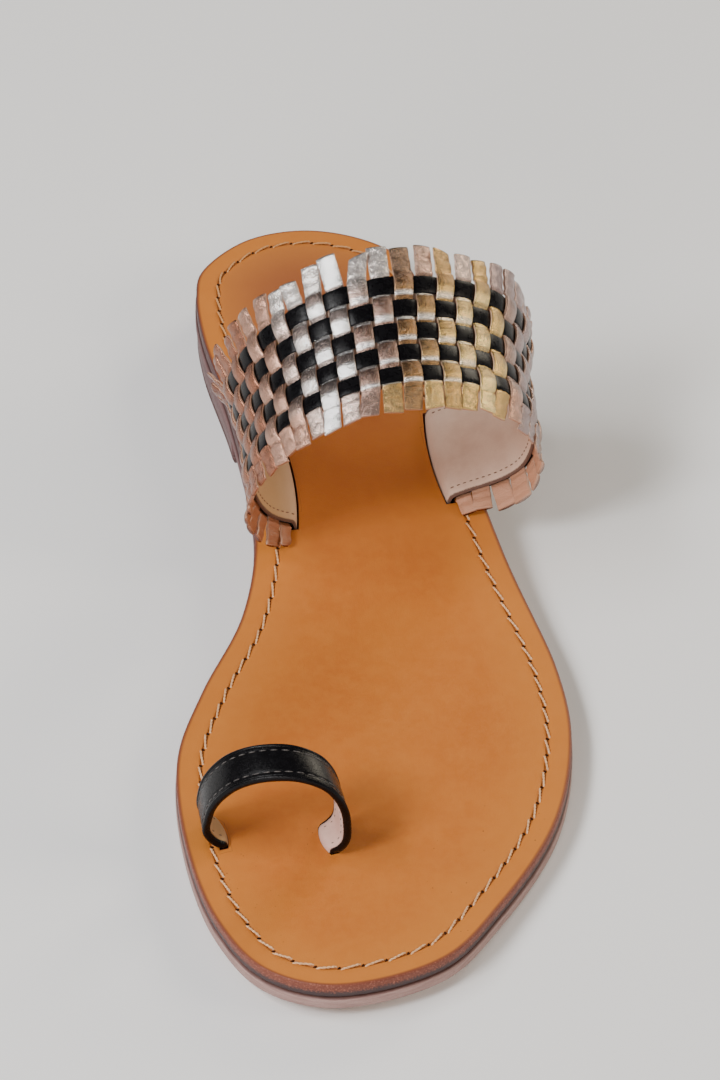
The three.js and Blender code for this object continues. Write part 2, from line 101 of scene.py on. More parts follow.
def srgb(red: int, green: int, blue: int) -> Colour:
    """Turns a colour read on a screen, 0 to 255, into linear light.

    Args:
        red: Red, 0 to 255.
        green: Green, 0 to 255.
        blue: Blue, 0 to 255.

    Returns:
        Three linear shares between 0 and 1.
    """
    c = np.array([red, green, blue]) / 255.0
    linear = np.where(c <= 0.04045, c / 12.92, ((c + 0.055) / 1.055) ** 2.4)
    return tuple(float(v) for v in linear)


def catmull_rom(points: Array, per_span: int, closed: bool = False) -> Array:
    """Draws a centripetal Catmull-Rom curve through points.

    Each span is the cubic a + bt + ct^2 + dt^3 whose end slopes come from the neighbours,
    with knots spaced by the square root of the chord lengths. An open curve is lengthened
    at both ends by the mirrored first and last chord.

    Args:
        points: Points to pass through, one a row.
        per_span: Samples on each span.
        closed: Whether the last point runs on to the first.

    Returns:
        The samples, one a row.
    """
    p = np.asarray(points, float)
    if closed:
        ext = np.vstack([p[-1:], p, p[:2]])
    else:
        ext = np.vstack([2 * p[:1] - p[1:2], p, 2 * p[-1:] - p[-2:-1]])
    p0, p1, p2, p3 = (ext[i:len(ext) - 3 + i] for i in range(4))
    d0, d1, d2 = (
        np.sqrt(np.linalg.norm(b - a, axis=1))[:, None] for a, b in ((p0, p1), (p1, p2), (p2, p3))
    )
    t1 = ((p1 - p0) / d0 - (p2 - p0) / (d0 + d1) + (p2 - p1) / d1) * d1
    t2 = ((p2 - p1) / d1 - (p3 - p1) / (d1 + d2) + (p3 - p2) / d2) * d1
    t = (np.arange(per_span) / per_span)[None, :, None]
    a, b = p1[:, None], t1[:, None]
    c = (-3 * p1 + 3 * p2 - 2 * t1 - t2)[:, None]
    d = (2 * p1 - 2 * p2 + t1 + t2)[:, None]
    samples = (a + b * t + c * t**2 + d * t**3).reshape(-1, p.shape[1])
    return np.vstack([samples, p[:1] if closed else p[-1:]])


def arc_lengths(curve: Array) -> Array:
    """Returns the length of the curve from its start to each of its points."""
    return np.r_[0.0, np.cumsum(np.linalg.norm(np.diff(curve, axis=0), axis=1))]


def interpolate(x: Array, xs: Array, rows: Array) -> Array:
    """Interpolates the rows, given at xs, at every x of any shape."""
    flat = np.column_stack([np.interp(np.ravel(x), xs, rows[:, k]) for k in range(rows.shape[1])])
    return flat.reshape(*np.shape(x), rows.shape[1])


# Meshes from arrays


@dataclass
class Patch:
    """A grid of points with the values that its material reads.

    The faces of a grid look along (step down the rows) x (step along the columns), or the
    other way when it is turned over. Its columns can be closed into a tube, and the first and
    the last row of a tube can be capped.
    """

    points: Array
    uv: Array | None = None
    values: dict[str, Array] = field(default_factory=dict)
    close_columns: bool = False
    cap_ends: bool = False
    turn_over: bool = False

    def faces(self) -> list[Array]:
        """Lists the quads of the grid and its caps, as arrays of vertex numbers, one face a row."""
        rows, columns = self.points.shape[:2]
        index = np.arange(rows * columns).reshape(rows, columns)
        grid = np.hstack([index, index[:, :1]]) if self.close_columns else index
        corners = grid[:-1, :-1], grid[1:, :-1], grid[1:, 1:], grid[:-1, 1:]
        blocks = [np.stack(corners, axis=-1).reshape(-1, 4)]
        if self.cap_ends:
            blocks += [index[:1], index[-1:, ::-1]]
        return [block[:, ::-1] for block in blocks] if self.turn_over else blocks


def tube(points: Array, uv: Array | None = None, turn_over: bool = False, **values: Array) -> Patch:
    """Returns a tube with capped ends, whose points carry the values."""
    return Patch(points, uv, values, close_columns=True, cap_ends=True, turn_over=turn_over)


def make_object(name: str, patches: Sequence[Patch], weld: float = 0.0) -> bpy.types.Object:
    """Joins patches into one object, in metres, at the origin.

    Args:
        name: Name of the piece.
        patches: Grids to join, in millimetres, all with values of the same names.
        weld: Distance in millimetres within which points become one, or 0.

    Returns:
        The new object, shaded smooth, with its values as attributes.
    """
    counts = [patch.points[..., 0].size for patch in patches]
    firsts = np.r_[0, np.cumsum(counts)[:-1]]
    faces = [block + first for patch, first in zip(patches, firsts) for block in patch.faces()]
    co = np.concatenate([patch.points.reshape(-1, 3) for patch in patches]) * MM
    loops = np.concatenate([np.ravel(block) for block in faces]).astype(np.int32)
    sizes = np.concatenate([np.full(len(block), block.shape[1]) for block in faces])
    starts = np.r_[0, np.cumsum(sizes)[:-1]].astype(np.int32)
    mesh = bpy.data.meshes.new(name)
    mesh.vertices.add(len(co))
    mesh.vertices.foreach_set("co", co.astype(np.float32).ravel())
    mesh.loops.add(len(loops))
    mesh.loops.foreach_set("vertex_index", loops)
    mesh.polygons.add(len(sizes))
    mesh.polygons.foreach_set("loop_start", starts)
    mesh.polygons.foreach_set("use_smooth", np.ones(len(sizes), bool))
    mesh.update(calc_edges=True)
    if patches[0].uv is not None:
        uv = np.concatenate([patch.uv.reshape(-1, 2) for patch in patches])
        layer = mesh.uv_layers.new(name="surface")
        layer.data.foreach_set("uv", uv[loops].astype(np.float32).ravel())
    for key in sorted(patches[0].values):
        parts = [patch.values[key] for patch in patches]
        if parts[0].ndim == 3:
            rgb = np.concatenate([part.reshape(-1, 3) for part in parts])
            kind, channel, rows = "FLOAT_COLOR", "color", np.column_stack([rgb, np.ones(len(rgb))])
        else:
            kind, channel, rows = "FLOAT", "value", np.concatenate([np.ravel(part) for part in parts])
        data = mesh.attributes.new(key, kind, "POINT").data
        data.foreach_set(channel, rows.astype(np.float32).ravel())
    mesh.validate(clean_customdata=False)
    piece = bpy.data.objects.new(name, mesh)
    bpy.context.scene.collection.objects.link(piece)
    if weld:
        weld_mesh(piece, weld * MM)
    return piece


def weld_mesh(piece: bpy.types.Object, distance: float) -> None:
    """Merges the points of a piece that lie within distance, in metres, of each other."""
    work = bmesh.new()
    work.from_mesh(piece.data)
    bmesh.ops.remove_doubles(work, verts=work.verts, dist=distance)
    work.to_mesh(piece.data)
    work.free()


def dress(piece: bpy.types.Object, material: bpy.types.Material, replaced: str) -> None:
    """Gives a piece its material and its body, hides the CAD node that it stands for and logs it.

    Args:
        piece: The object.
        material: Its finish.
        replaced: CAD node that it stands for.
    """
    piece.data.materials.append(material)
    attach(piece, BODY)
    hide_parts(replaced)
    log.info("%s: %d faces", piece.name, len(piece.data.polygons))


# Shader graphs


class Graph:
    """A node graph for one material, with short calls for the nodes that leather needs."""

    def __init__(self, name: str) -> None:
        """Makes the material with a Principled surface."""
        self.material = bpy.data.materials.new(name)
        self.material.use_nodes = True
        self.tree = self.material.node_tree
        self.tree.nodes.clear()
        self.surface = self.tree.nodes.new("ShaderNodeBsdfPrincipled")
        output = self.tree.nodes.new("ShaderNodeOutputMaterial")
        self.tree.links.new(self.surface.outputs[0], output.inputs[0])

    def put(self, socket: Socket, value: object) -> None:
        """Links an output to a socket, or sets a plain value or colour on it."""
        if isinstance(value, Socket):
            self.tree.links.new(value, socket)
        elif isinstance(value, tuple) and len(value) == 3 and socket.type == "RGBA":
            socket.default_value = (*value, 1.0)
        else:
            socket.default_value = value

    def node(self, kind: str, inputs: dict[str | int, object], **settings: object) -> bpy.types.Node:
        """Adds a node with its settings and its inputs.

        Args:
            kind: Blender's name of the node.
            inputs: Values or links by socket name or number.
            **settings: Properties of the node.

        Returns:
            The node.
        """
        made = self.tree.nodes.new(kind)
        for key, value in settings.items():
            setattr(made, key, value)
        for key, value in inputs.items():
            self.put(made.inputs[key], value)
        return made

    def here(self, scale: Sequence[float] = MILLIMETRES) -> Socket:
        """Returns the place on the piece in its own frame, in millimetres unless scaled otherwise."""
        source = self.node("ShaderNodeTexCoord", {}).outputs["Object"]
        return self.node("ShaderNodeMapping", {"Vector": source, "Scale": scale}).outputs[0]

    def surface_uv(self, scale: Sequence[float] = (1, 1, 1)) -> Socket:
        """Returns the place on the unrolled strip, in millimetres unless scaled otherwise."""
        source = self.node("ShaderNodeUVMap", {}, uv_map="surface").outputs[0]
        return self.node("ShaderNodeMapping", {"Vector": source, "Scale": scale}).outputs[0]

    def axis(self, vector: Socket, number: int) -> Socket:
        """Returns one of the three values of a vector."""
        return self.node("ShaderNodeSeparateXYZ", {0: vector}).outputs[number]

    def noise(self, vector: Socket, scale: float, detail: float = 3.0,
              roughness: float = 0.55, distortion: float = 0.0) -> Socket:
        """Returns a fractal noise between 0 and 1."""
        return self.node("ShaderNodeTexNoise", {
            "Vector": vector, "Scale": scale, "Detail": detail, "Roughness": roughness,
            "Distortion": distortion}).outputs[0]

    def cells(self, vector: Socket, scale: float,
              feature: str = "DISTANCE_TO_EDGE") -> Socket:
        """Returns the distance to the cell edges, or for F1 to the cell points, of a Voronoi pattern."""
        inputs = {"Vector": vector, "Scale": scale}
        return self.node("ShaderNodeTexVoronoi", inputs, feature=feature).outputs[0]

    def attribute(self, name: str, colour: bool = False) -> Socket:
        """Returns a value or a colour that the mesh carries."""
        made = self.node("ShaderNodeAttribute", {}, attribute_name=name)
        return made.outputs["Color" if colour else "Fac"]

    def math(self, operation: str, *values: object, clamp: bool = False) -> Socket:
        """Returns the result of one operation on one or two values."""
        return self.node("ShaderNodeMath", dict(enumerate(values)), operation=operation,
                         use_clamp=clamp).outputs[0]

    def times(self, first: object, second: object) -> Socket:
        """Returns first * second."""
        return self.math("MULTIPLY", first, second)

    def add(self, first: object, second: object, weight: float = 1.0) -> Socket:
        """Returns first + weight * second."""
        return self.math("ADD", first, second if weight == 1.0 else self.times(second, weight))

    def span(self, value: Socket, low: float, high: float, out_low: float = 0.0,
             out_high: float = 1.0) -> Socket:
        """Maps low..high smoothly to out_low..out_high, held at both ends."""
        return self.node("ShaderNodeMapRange", {
            "Value": value, "From Min": low, "From Max": high, "To Min": out_low,
            "To Max": out_high}, interpolation_type="SMOOTHSTEP").outputs[0]

    def mix(self, share: object, first: object, second: object,
            blend: str = "MIX") -> Socket:
        """Returns a mix of two colours."""
        made = self.tree.nodes.new("ShaderNodeMix")
        made.data_type, made.blend_type, made.clamp_factor = "RGBA", blend, True
        self.put(made.inputs["Factor"], share)
        self.put(made.inputs[6], first)
        self.put(made.inputs[7], second)
        return made.outputs[2]

    def bump(self, height: Socket, depth: float, strength: float = 1.0,
             normal: Socket | None = None) -> Socket:
        """Returns a normal raised by height times depth, in millimetres."""
        inputs = {"Height": height, "Distance": depth * MM, "Strength": strength}
        if normal is not None:
            inputs["Normal"] = normal
        return self.node("ShaderNodeBump", inputs).outputs[0]

    def finish(self, **sockets: object) -> bpy.types.Material:
        """Sets the surface's sockets, with spaces written as underscores, and returns the material."""
        for key, value in sockets.items():
            self.put(self.surface.inputs[key.replace("_", " ")], value)
        return self.material


@dataclass(frozen=True)
class TannedLeather:
    """Vegetable-tanned footbed leather with a burnished rim.

    The mesh carries rim, the distance from the outline in millimetres, wall, 1 on the edge, and
    level, the share of the height. The seam's groove lies seam_inset from the outline and is
    darkened in colour as painted shade.
    """

    seam_inset: float
    tan: Colour = srgb(195, 113, 42)
    deep: Colour = srgb(187, 104, 38)
    pale: Colour = srgb(205, 128, 52)
    heel_tone: Colour = srgb(152, 88, 52)
    burnish: Colour = srgb(66, 50, 50)
    rim_line: Colour = srgb(116, 60, 44)
    fleck: Colour = srgb(188, 120, 96)
    speck: Colour = srgb(84, 48, 28)
    # Painted shade of the seam's groove.
    groove: Colour = srgb(128, 68, 30)
    heel_side: Colour = srgb(80, 48, 46)

    def build(self) -> bpy.types.Material:
        """Returns the material: mottled tan, paler near the rim, fine pores, a groove darkened as painted
        shade, dark edge.
        """
        g = Graph("tan_footbed")
        here = g.here()
        clouds = g.noise(here, 0.035, 4.0, 0.6)
        mottle = g.noise(here, 0.35, 4.0, 0.65)
        colour = g.mix(g.span(clouds, 0.3, 0.7), self.deep, self.tan)
        colour = g.mix(g.span(mottle, 0.3, 0.75, 0.0, 0.3), colour, self.pale)
        along = g.axis(here, 1)
        rim = g.attribute("rim")
        # Blends to the darker heel tone towards the heel, away from the rim.
        worn = g.times(g.span(along, 40.0, 85.0, 0.0, 0.85), g.span(rim, 3.5, 8.0))
        colour = g.mix(worn, colour, self.heel_tone)
        colour = g.mix(g.span(rim, 4.0, 20.0, 0.55, 0.0), colour, self.pale)
        pores = g.cells(here, 3.4)
        specks = g.cells(here, 0.5, "F1")
        gathered = g.span(g.noise(here, 0.07, 2.0), 0.5, 0.64)
        gathered = g.times(gathered, g.span(along, -85.0, -60.0, 1.0, 0.2))
        dots = g.times(g.span(specks, 0.05, 0.1, 0.8, 0.0), gathered)
        colour = g.mix(dots, colour, self.speck)
        # Painted shade: the groove round the seam is darkened along the stitches.
        seam = g.math("ABSOLUTE", g.math("SUBTRACT", rim, self.seam_inset))
        colour = g.mix(g.span(seam, 0.2, 0.6, 0.55, 0.0), colour, self.groove)
        colour = g.mix(g.span(rim, 0.3, 1.1, 0.9, 0.0), colour, self.rim_line)
        wall = g.attribute("wall")
        flecks = g.noise(here, 2.6, 4.0, 0.7)
        upper = g.mix(g.span(flecks, 0.5, 0.68, 0.0, 0.6), self.rim_line, self.fleck)
        ragged = g.add(g.attribute("level"), g.span(flecks, 0.3, 0.7, -0.12, 0.12))
        edge = g.mix(g.span(ragged, 0.3, 0.62), self.burnish, upper)
        edge = g.mix(g.span(along, -10.0, 50.0), edge, self.heel_side)
        colour = g.mix(wall, colour, edge)
        grain = g.add(g.span(pores, 0.0, 0.25), mottle, 0.7)
        normal = g.bump(grain, 0.022, 0.7, g.bump(g.noise(here, 0.12, 3.0), 0.25, 0.4))
        rough = g.span(mottle, 0.3, 0.7, 0.44, 0.56)
        return g.finish(Base_Color=colour, Roughness=rough, Normal=normal, Specular_IOR_Level=0.32)


@dataclass(frozen=True)
class EdgeLeather:
    """Firm sole or heel leather seen on its cut edge.

    A layer pitch, in millimetres, draws the joints of stacked lifts. A heel tone darkens the edge
    towards the heel and its two rims, and shows the underside in its own tone. That needs a
    mesh with wall and level.
    """

    name: str
    base: Colour
    deep: Colour
    layer_pitch: float = 0.0
    rough: float = 0.62
    heel: Colour | None = None
    under: Colour = srgb(164, 124, 96)
    rim_shade: Colour = srgb(150, 128, 126)
    specular: float = 0.5
    streaks: Triple = (160, 160, 2600)

    def build(self) -> bpy.types.Material:
        """Returns the material: streaks along the edge, layer lines if any, and fine fibres."""
        g = Graph(self.name)
        here = g.here()
        streaks = g.noise(g.here(self.streaks), 1.0, 5.0, 0.65)
        fibres = g.noise(here, 3.0, 3.0, 0.7)
        colour = g.mix(g.span(streaks, 0.36, 0.68, 0.0, 0.8), self.base, self.deep)
        colour = g.mix(g.span(fibres, 0.35, 0.75, 0.0, 0.3), colour, self.deep)
        height = g.add(streaks, fibres, 0.5)
        if self.heel:
            along = g.axis(here, 1)
            colour = g.mix(g.span(along, -20.0, 50.0), colour, self.heel)
            level = g.attribute("level")
            lower, upper = g.span(level, 0.0, 0.16, 0.8, 0.0), g.span(level, 0.86, 1.0, 0.0, 0.9)
            shaded = g.mix(1.0, colour, self.rim_shade, "MULTIPLY")
            colour = g.mix(g.math("MAXIMUM", lower, upper), colour, shaded)
            colour = g.mix(g.attribute("wall"), self.under, colour)
        if self.layer_pitch:
            step = g.math("FRACT", g.math("DIVIDE", g.axis(here, 2), self.layer_pitch))
            line = g.span(g.math("ABSOLUTE", g.math("SUBTRACT", step, 0.5)), 0.0, 0.09, 1.0, 0.0)
            colour = g.mix(g.times(line, 0.6), colour, self.deep)
            height = g.math("SUBTRACT", height, line)
        normal = g.bump(height, 0.06, 0.7)
        rough = g.span(fibres, 0.3, 0.7, self.rough - 0.08, self.rough + 0.1)
        return g.finish(Base_Color=colour, Roughness=rough, Normal=normal,
                        Specular_IOR_Level=self.specular)


@dataclass(frozen=True)
class FoilLeather:
    """Crackled metallic foil on leather strips.

    The mesh carries the foil's tint and painted light at each point, the foil's colour with painted
    reflection, painted shade and painted glints in it; face, 1 on the foiled side; cut, 1 on the cut
    edges; and wear, the share of foil that is rubbed through to the brown ground. The raw underside
    is darker on the medial side, up to the middle of the shoe, as painted shade.
    """

    raw: Colour = srgb(212, 158, 126)
    # Painted shade of the raw underside on the medial side.
    raw_medial_painted_shade: Colour = srgb(168, 108, 72)
    edge: Colour = srgb(196, 156, 130)
    ground: Colour = srgb(58, 42, 38)

    def build(self) -> bpy.types.Material:
        """Returns the material: foil with cross wrinkles and cracks that show the ground."""
        g = Graph("foil_leather")
        uv = g.surface_uv()
        wrinkles = g.noise(g.surface_uv((0.6, 1.3, 1)), 0.9, 4.0, 0.6, 0.6)
        fine = g.noise(uv, 6.0, 3.0, 0.65, 0.5)
        cracks = g.cells(g.surface_uv((0.9, 1.5, 1)), 2.2)
        patchy = g.noise(uv, 0.8, 3.0, 0.6)
        wear = g.attribute("wear")
        level = g.add(g.times(fine, 0.8), patchy, 0.4)
        limit = g.math("SUBTRACT", 0.9, g.times(wear, 0.42))
        worn = g.math("MULTIPLY", g.math("SUBTRACT", level, limit), 6.0, clamp=True)
        lines = g.times(g.span(cracks, 0.0, 0.08, 1.0, 0.0), g.span(patchy, 0.42, 0.6))
        worn = g.math("MAXIMUM", worn, g.times(lines, g.span(wear, 0.0, 0.6, 0.25, 0.85)))
        # The tint carries painted reflection, painted shade and painted glints as well as the foil's
        # colour.
        tint = g.attribute("tint", colour=True)
        colour = g.mix(worn, tint, g.mix(0.55, self.ground, tint, "MULTIPLY"))
        face = g.attribute("face")
        across = g.axis(g.here(), 0)
        # Painted shade: the raw underside darkens towards the medial side.
        raw = g.mix(g.span(across, -20.0, 0.0), self.raw_medial_painted_shade, self.raw)
        raw = g.mix(g.span(fine, 0.35, 0.7, 0.0, 0.35), raw, g.mix(1.0, raw, self.edge, "MULTIPLY"))
        raw = g.mix(g.attribute("cut"), raw, self.edge)
        colour = g.mix(face, raw, colour)
        foil = g.times(face, g.math("SUBTRACT", 1.0, g.times(worn, 0.75)))
        rough = g.add(g.span(wrinkles, 0.3, 0.7, 0.11, 0.2), worn, 0.3)
        rough = g.add(rough, g.span(face, 0.0, 1.0, 0.3, 0.0))
        crumple = g.noise(g.surface_uv((1.0, 1.9, 1)), 1.9, 3.0, 0.6, 0.9)
        height = g.add(g.add(wrinkles, fine, 0.22), crumple, 0.55)
        height = g.math("SUBTRACT", height, g.times(worn, 0.25))
        return g.finish(Base_Color=colour, Metallic=foil, Roughness=rough,
                        Normal=g.bump(height, 0.24, 0.9))


@dataclass(frozen=True)
class BlackLeather:
    """Smooth black leather with a fine grain and a soft sheen.

    The grain is in pores a millimetre, the relief in millimetres, and the crease is a share of it.
    """

    name: str
    black: Colour = srgb(7, 6, 8)
    sheen: Colour = srgb(18, 17, 20)
    rough: float = 0.3
    grain: float = 1.6
    relief: float = 0.04
    crease: float = 0.6
    index: float = 1.28

    def build(self) -> bpy.types.Material:
        """Returns the material: near black with fine pores and small scuffs."""
        g = Graph(self.name)
        here = g.here()
        pores = g.cells(here, self.grain)
        soft = g.noise(here, 0.6, 4.0, 0.6)
        creases = g.noise(here, 1.3, 4.0, 0.6, 1.2)
        colour = g.mix(g.span(soft, 0.4, 0.75, 0.0, 0.5), self.black, self.sheen)
        height = g.add(g.span(pores, 0.0, 0.2, 0.0, 0.5), soft, 0.8)
        height = g.add(height, g.span(creases, 0.35, 0.6, 0.0, self.crease))
        rough = g.span(soft, 0.3, 0.7, self.rough - 0.05, self.rough + 0.08)
        return g.finish(Base_Color=colour, Roughness=rough, IOR=self.index,
                        Normal=g.bump(height, self.relief, 0.6))


@dataclass(frozen=True)
class LiningLeather:
    """Undyed nude lining leather with a short soft nap.

    On the medial side of x = turn it turns to a painted olive-tan shade, standing in for the shade
    and the tan light bounced from the footbed there. A stain needs a mesh with rim, the
    distance from the lining's edges in millimetres.
    """

    name: str = "lining_leather"
    turn: float = -12.0
    blend: float = 8.0
    base: Colour = srgb(240, 212, 190)
    deep: Colour = srgb(216, 180, 156)
    # Painted shade: olive-tan for the shade and the bounced tan light on the medial side.
    medial: Colour = srgb(176, 136, 84)
    stain: Colour | None = None

    def build(self) -> bpy.types.Material:
        """Returns the material: soft clouds of two nude tones, a fine nap, a painted shade on the medial
        side and a stained rim.
        """
        g = Graph(self.name)
        here = g.here()
        clouds = g.noise(here, 0.12, 4.0, 0.6)
        nap = g.noise(here, 3.2, 4.0, 0.75)
        colour = g.mix(g.span(clouds, 0.35, 0.7, 0.0, 0.55), self.base, self.deep)
        colour = g.mix(g.span(nap, 0.35, 0.75, 0.0, 0.3), colour, self.deep)
        across = g.axis(here, 0)
        # Painted shade: blends to the olive-tan on the medial side.
        inner = g.span(across, self.turn - self.blend, self.turn + self.blend, 0.95, 0.0)
        colour = g.mix(inner, colour, self.medial)
        if self.stain:
            ragged = g.add(g.attribute("rim"), g.span(nap, 0.3, 0.7, -0.15, 0.15))
            colour = g.mix(g.span(ragged, 0.3, 0.75, 0.92, 0.0), colour, self.stain)
        return g.finish(Base_Color=colour, Roughness=0.78, Normal=g.bump(nap, 0.05, 0.6),
                        Sheen_Weight=0.15, Sheen_Roughness=0.5)


@dataclass(frozen=True)
class Thread:
    """Waxed sewing thread with a fine lay along it."""

    name: str
    base: Colour
    deep: Colour
    heel: Colour | None = None

    def build(self) -> bpy.types.Material:
        """Returns the material: two tones of fibre, dull, with fibre bump."""
        g = Graph(self.name)
        here = g.here()
        fibre = g.noise(here, 2.4, 4.0, 0.7)
        colour = g.mix(g.span(fibre, 0.35, 0.7), self.deep, self.base)
        if self.heel:
            along = g.axis(here, 1)
            colour = g.mix(g.span(along, 20.0, 80.0, 0.0, 0.85), colour, self.heel)
        return g.finish(Base_Color=colour, Roughness=0.62, Normal=g.bump(fibre, 0.06, 0.6))


@dataclass(frozen=True)
class FloorFinish:
    """Plain pale studio floor."""

    base: Colour = srgb(247, 247, 247)
    cloud: Colour = srgb(236, 236, 238)

    def build(self) -> bpy.types.Material:
        """Returns the material: pale, matt, with hardly any unevenness."""
        g = Graph("studio_floor")
        soft = g.noise(g.here((1, 1, 1)), 1.5, 2.0)
        colour = g.mix(g.span(soft, 0.3, 0.7, 0.0, 0.04), self.base, self.cloud)
        return g.finish(Base_Color=colour, Roughness=0.9)


# The sole


@dataclass
class SoleShape:
    """Outline and side profile of the sole, in millimetres.

    The outline is a closed curve through landmarks, given as shares of the length
    from the toe and of the ball width from the middle, medial minus.
    """

    length: float = 253.4
    ball_width: float = 89.3
    outsole_thickness: float = 3.0
    footbed_thickness: float = 3.7
    layer_gap: float = 0.3
    outsole_proud: float = 0.3
    heel_height: float = 8.5
    top_piece: float = 2.5
    toe_spring: float = 3.5
    spring_start: float = 0.262
    arch_start: float = 0.428
    breast: float = 0.717
    heel_flat: float = 0.783
    landmarks: tuple[Pair, ...] = (
        (1.0, -0.077), (0.9866, -0.235), (0.9396, -0.363), (0.9021, -0.382), (0.8382, -0.371),
        (0.7194, -0.307), (0.5766, -0.263), (0.4759, -0.307), (0.3757, -0.424), (0.2944, -0.493),
        (0.1886, -0.484), (0.0856, -0.415), (0.0237, -0.308), (0.0, -0.147), (0.0268, 0.114),
        (0.0916, 0.269), (0.1934, 0.432), (0.2972, 0.498), (0.3883, 0.485), (0.5434, 0.382),
        (0.704, 0.292), (0.8275, 0.255), (0.9009, 0.241), (0.9522, 0.193), (0.9854, 0.077),
    )

    def __post_init__(self) -> None:
        """Draws the outline as a closed run of points, centred on the part's origin."""
        length_share, width_share = np.array(self.landmarks).T
        points = np.column_stack([width_share * self.ball_width, (length_share - 0.5) * self.length])
        drawn = catmull_rom(points, 200, closed=True)
        self.shift = (drawn.min(0) + drawn.max(0)) / 2
        self.curve = drawn - self.shift

    def along(self, share: Array) -> Array:
        """Turns a share of the length from the toe into y."""
        return (np.asarray(share) - 0.5) * self.length - self.shift[1]

    def edges(self, y: Array) -> tuple[Array, Array]:
        """Finds the medial and the lateral edge at each y.

        The outline is cut at its toe and heel ends, and each side is read as x over y.

        Args:
            y: Places along the sole.

        Returns:
            x on the medial side and x on the lateral side.
        """
        toe, heel = int(self.curve[:, 1].argmin()), int(self.curve[:, 1].argmax())
        loop = np.roll(self.curve[:-1], -heel, axis=0)
        turn = (toe - heel) % len(loop)
        medial, lateral = loop[:turn + 1][::-1], np.vstack([loop[turn:], loop[:1]])
        return tuple(np.interp(y, side[:, 1], side[:, 0]) for side in (medial, lateral))

    def bottom(self, y: Array) -> Array:
        """Height of the outsole's underside: a smooth rise to the heel and a toe spring."""
        arch, flat = self.along(self.arch_start), self.along(self.heel_flat)
        spring, toe = self.along(self.spring_start), self.along(0.0)
        rise = self.heel_height * smooth_step((y - arch) / (flat - arch))
        return rise + self.toe_spring * np.clip((spring - y) / (spring - toe), 0.0, 1.0) ** 2

    def outsole_top(self, y: Array) -> Array:
        """Height of the outsole's upper face."""
        return self.bottom(y) + self.outsole_thickness

    def footbed_bottom(self, y: Array) -> Array:
        """Height of the footbed's lower face."""
        return self.outsole_top(y) + self.layer_gap

    def footbed_top(self, y: Array) -> Array:
        """Height of the footbed's upper face."""
        return self.footbed_bottom(y) + self.footbed_thickness


class Plan(Enum):
    """Which ring a layer of the sole follows."""

    FULL = "full"
    HEEL = "heel"


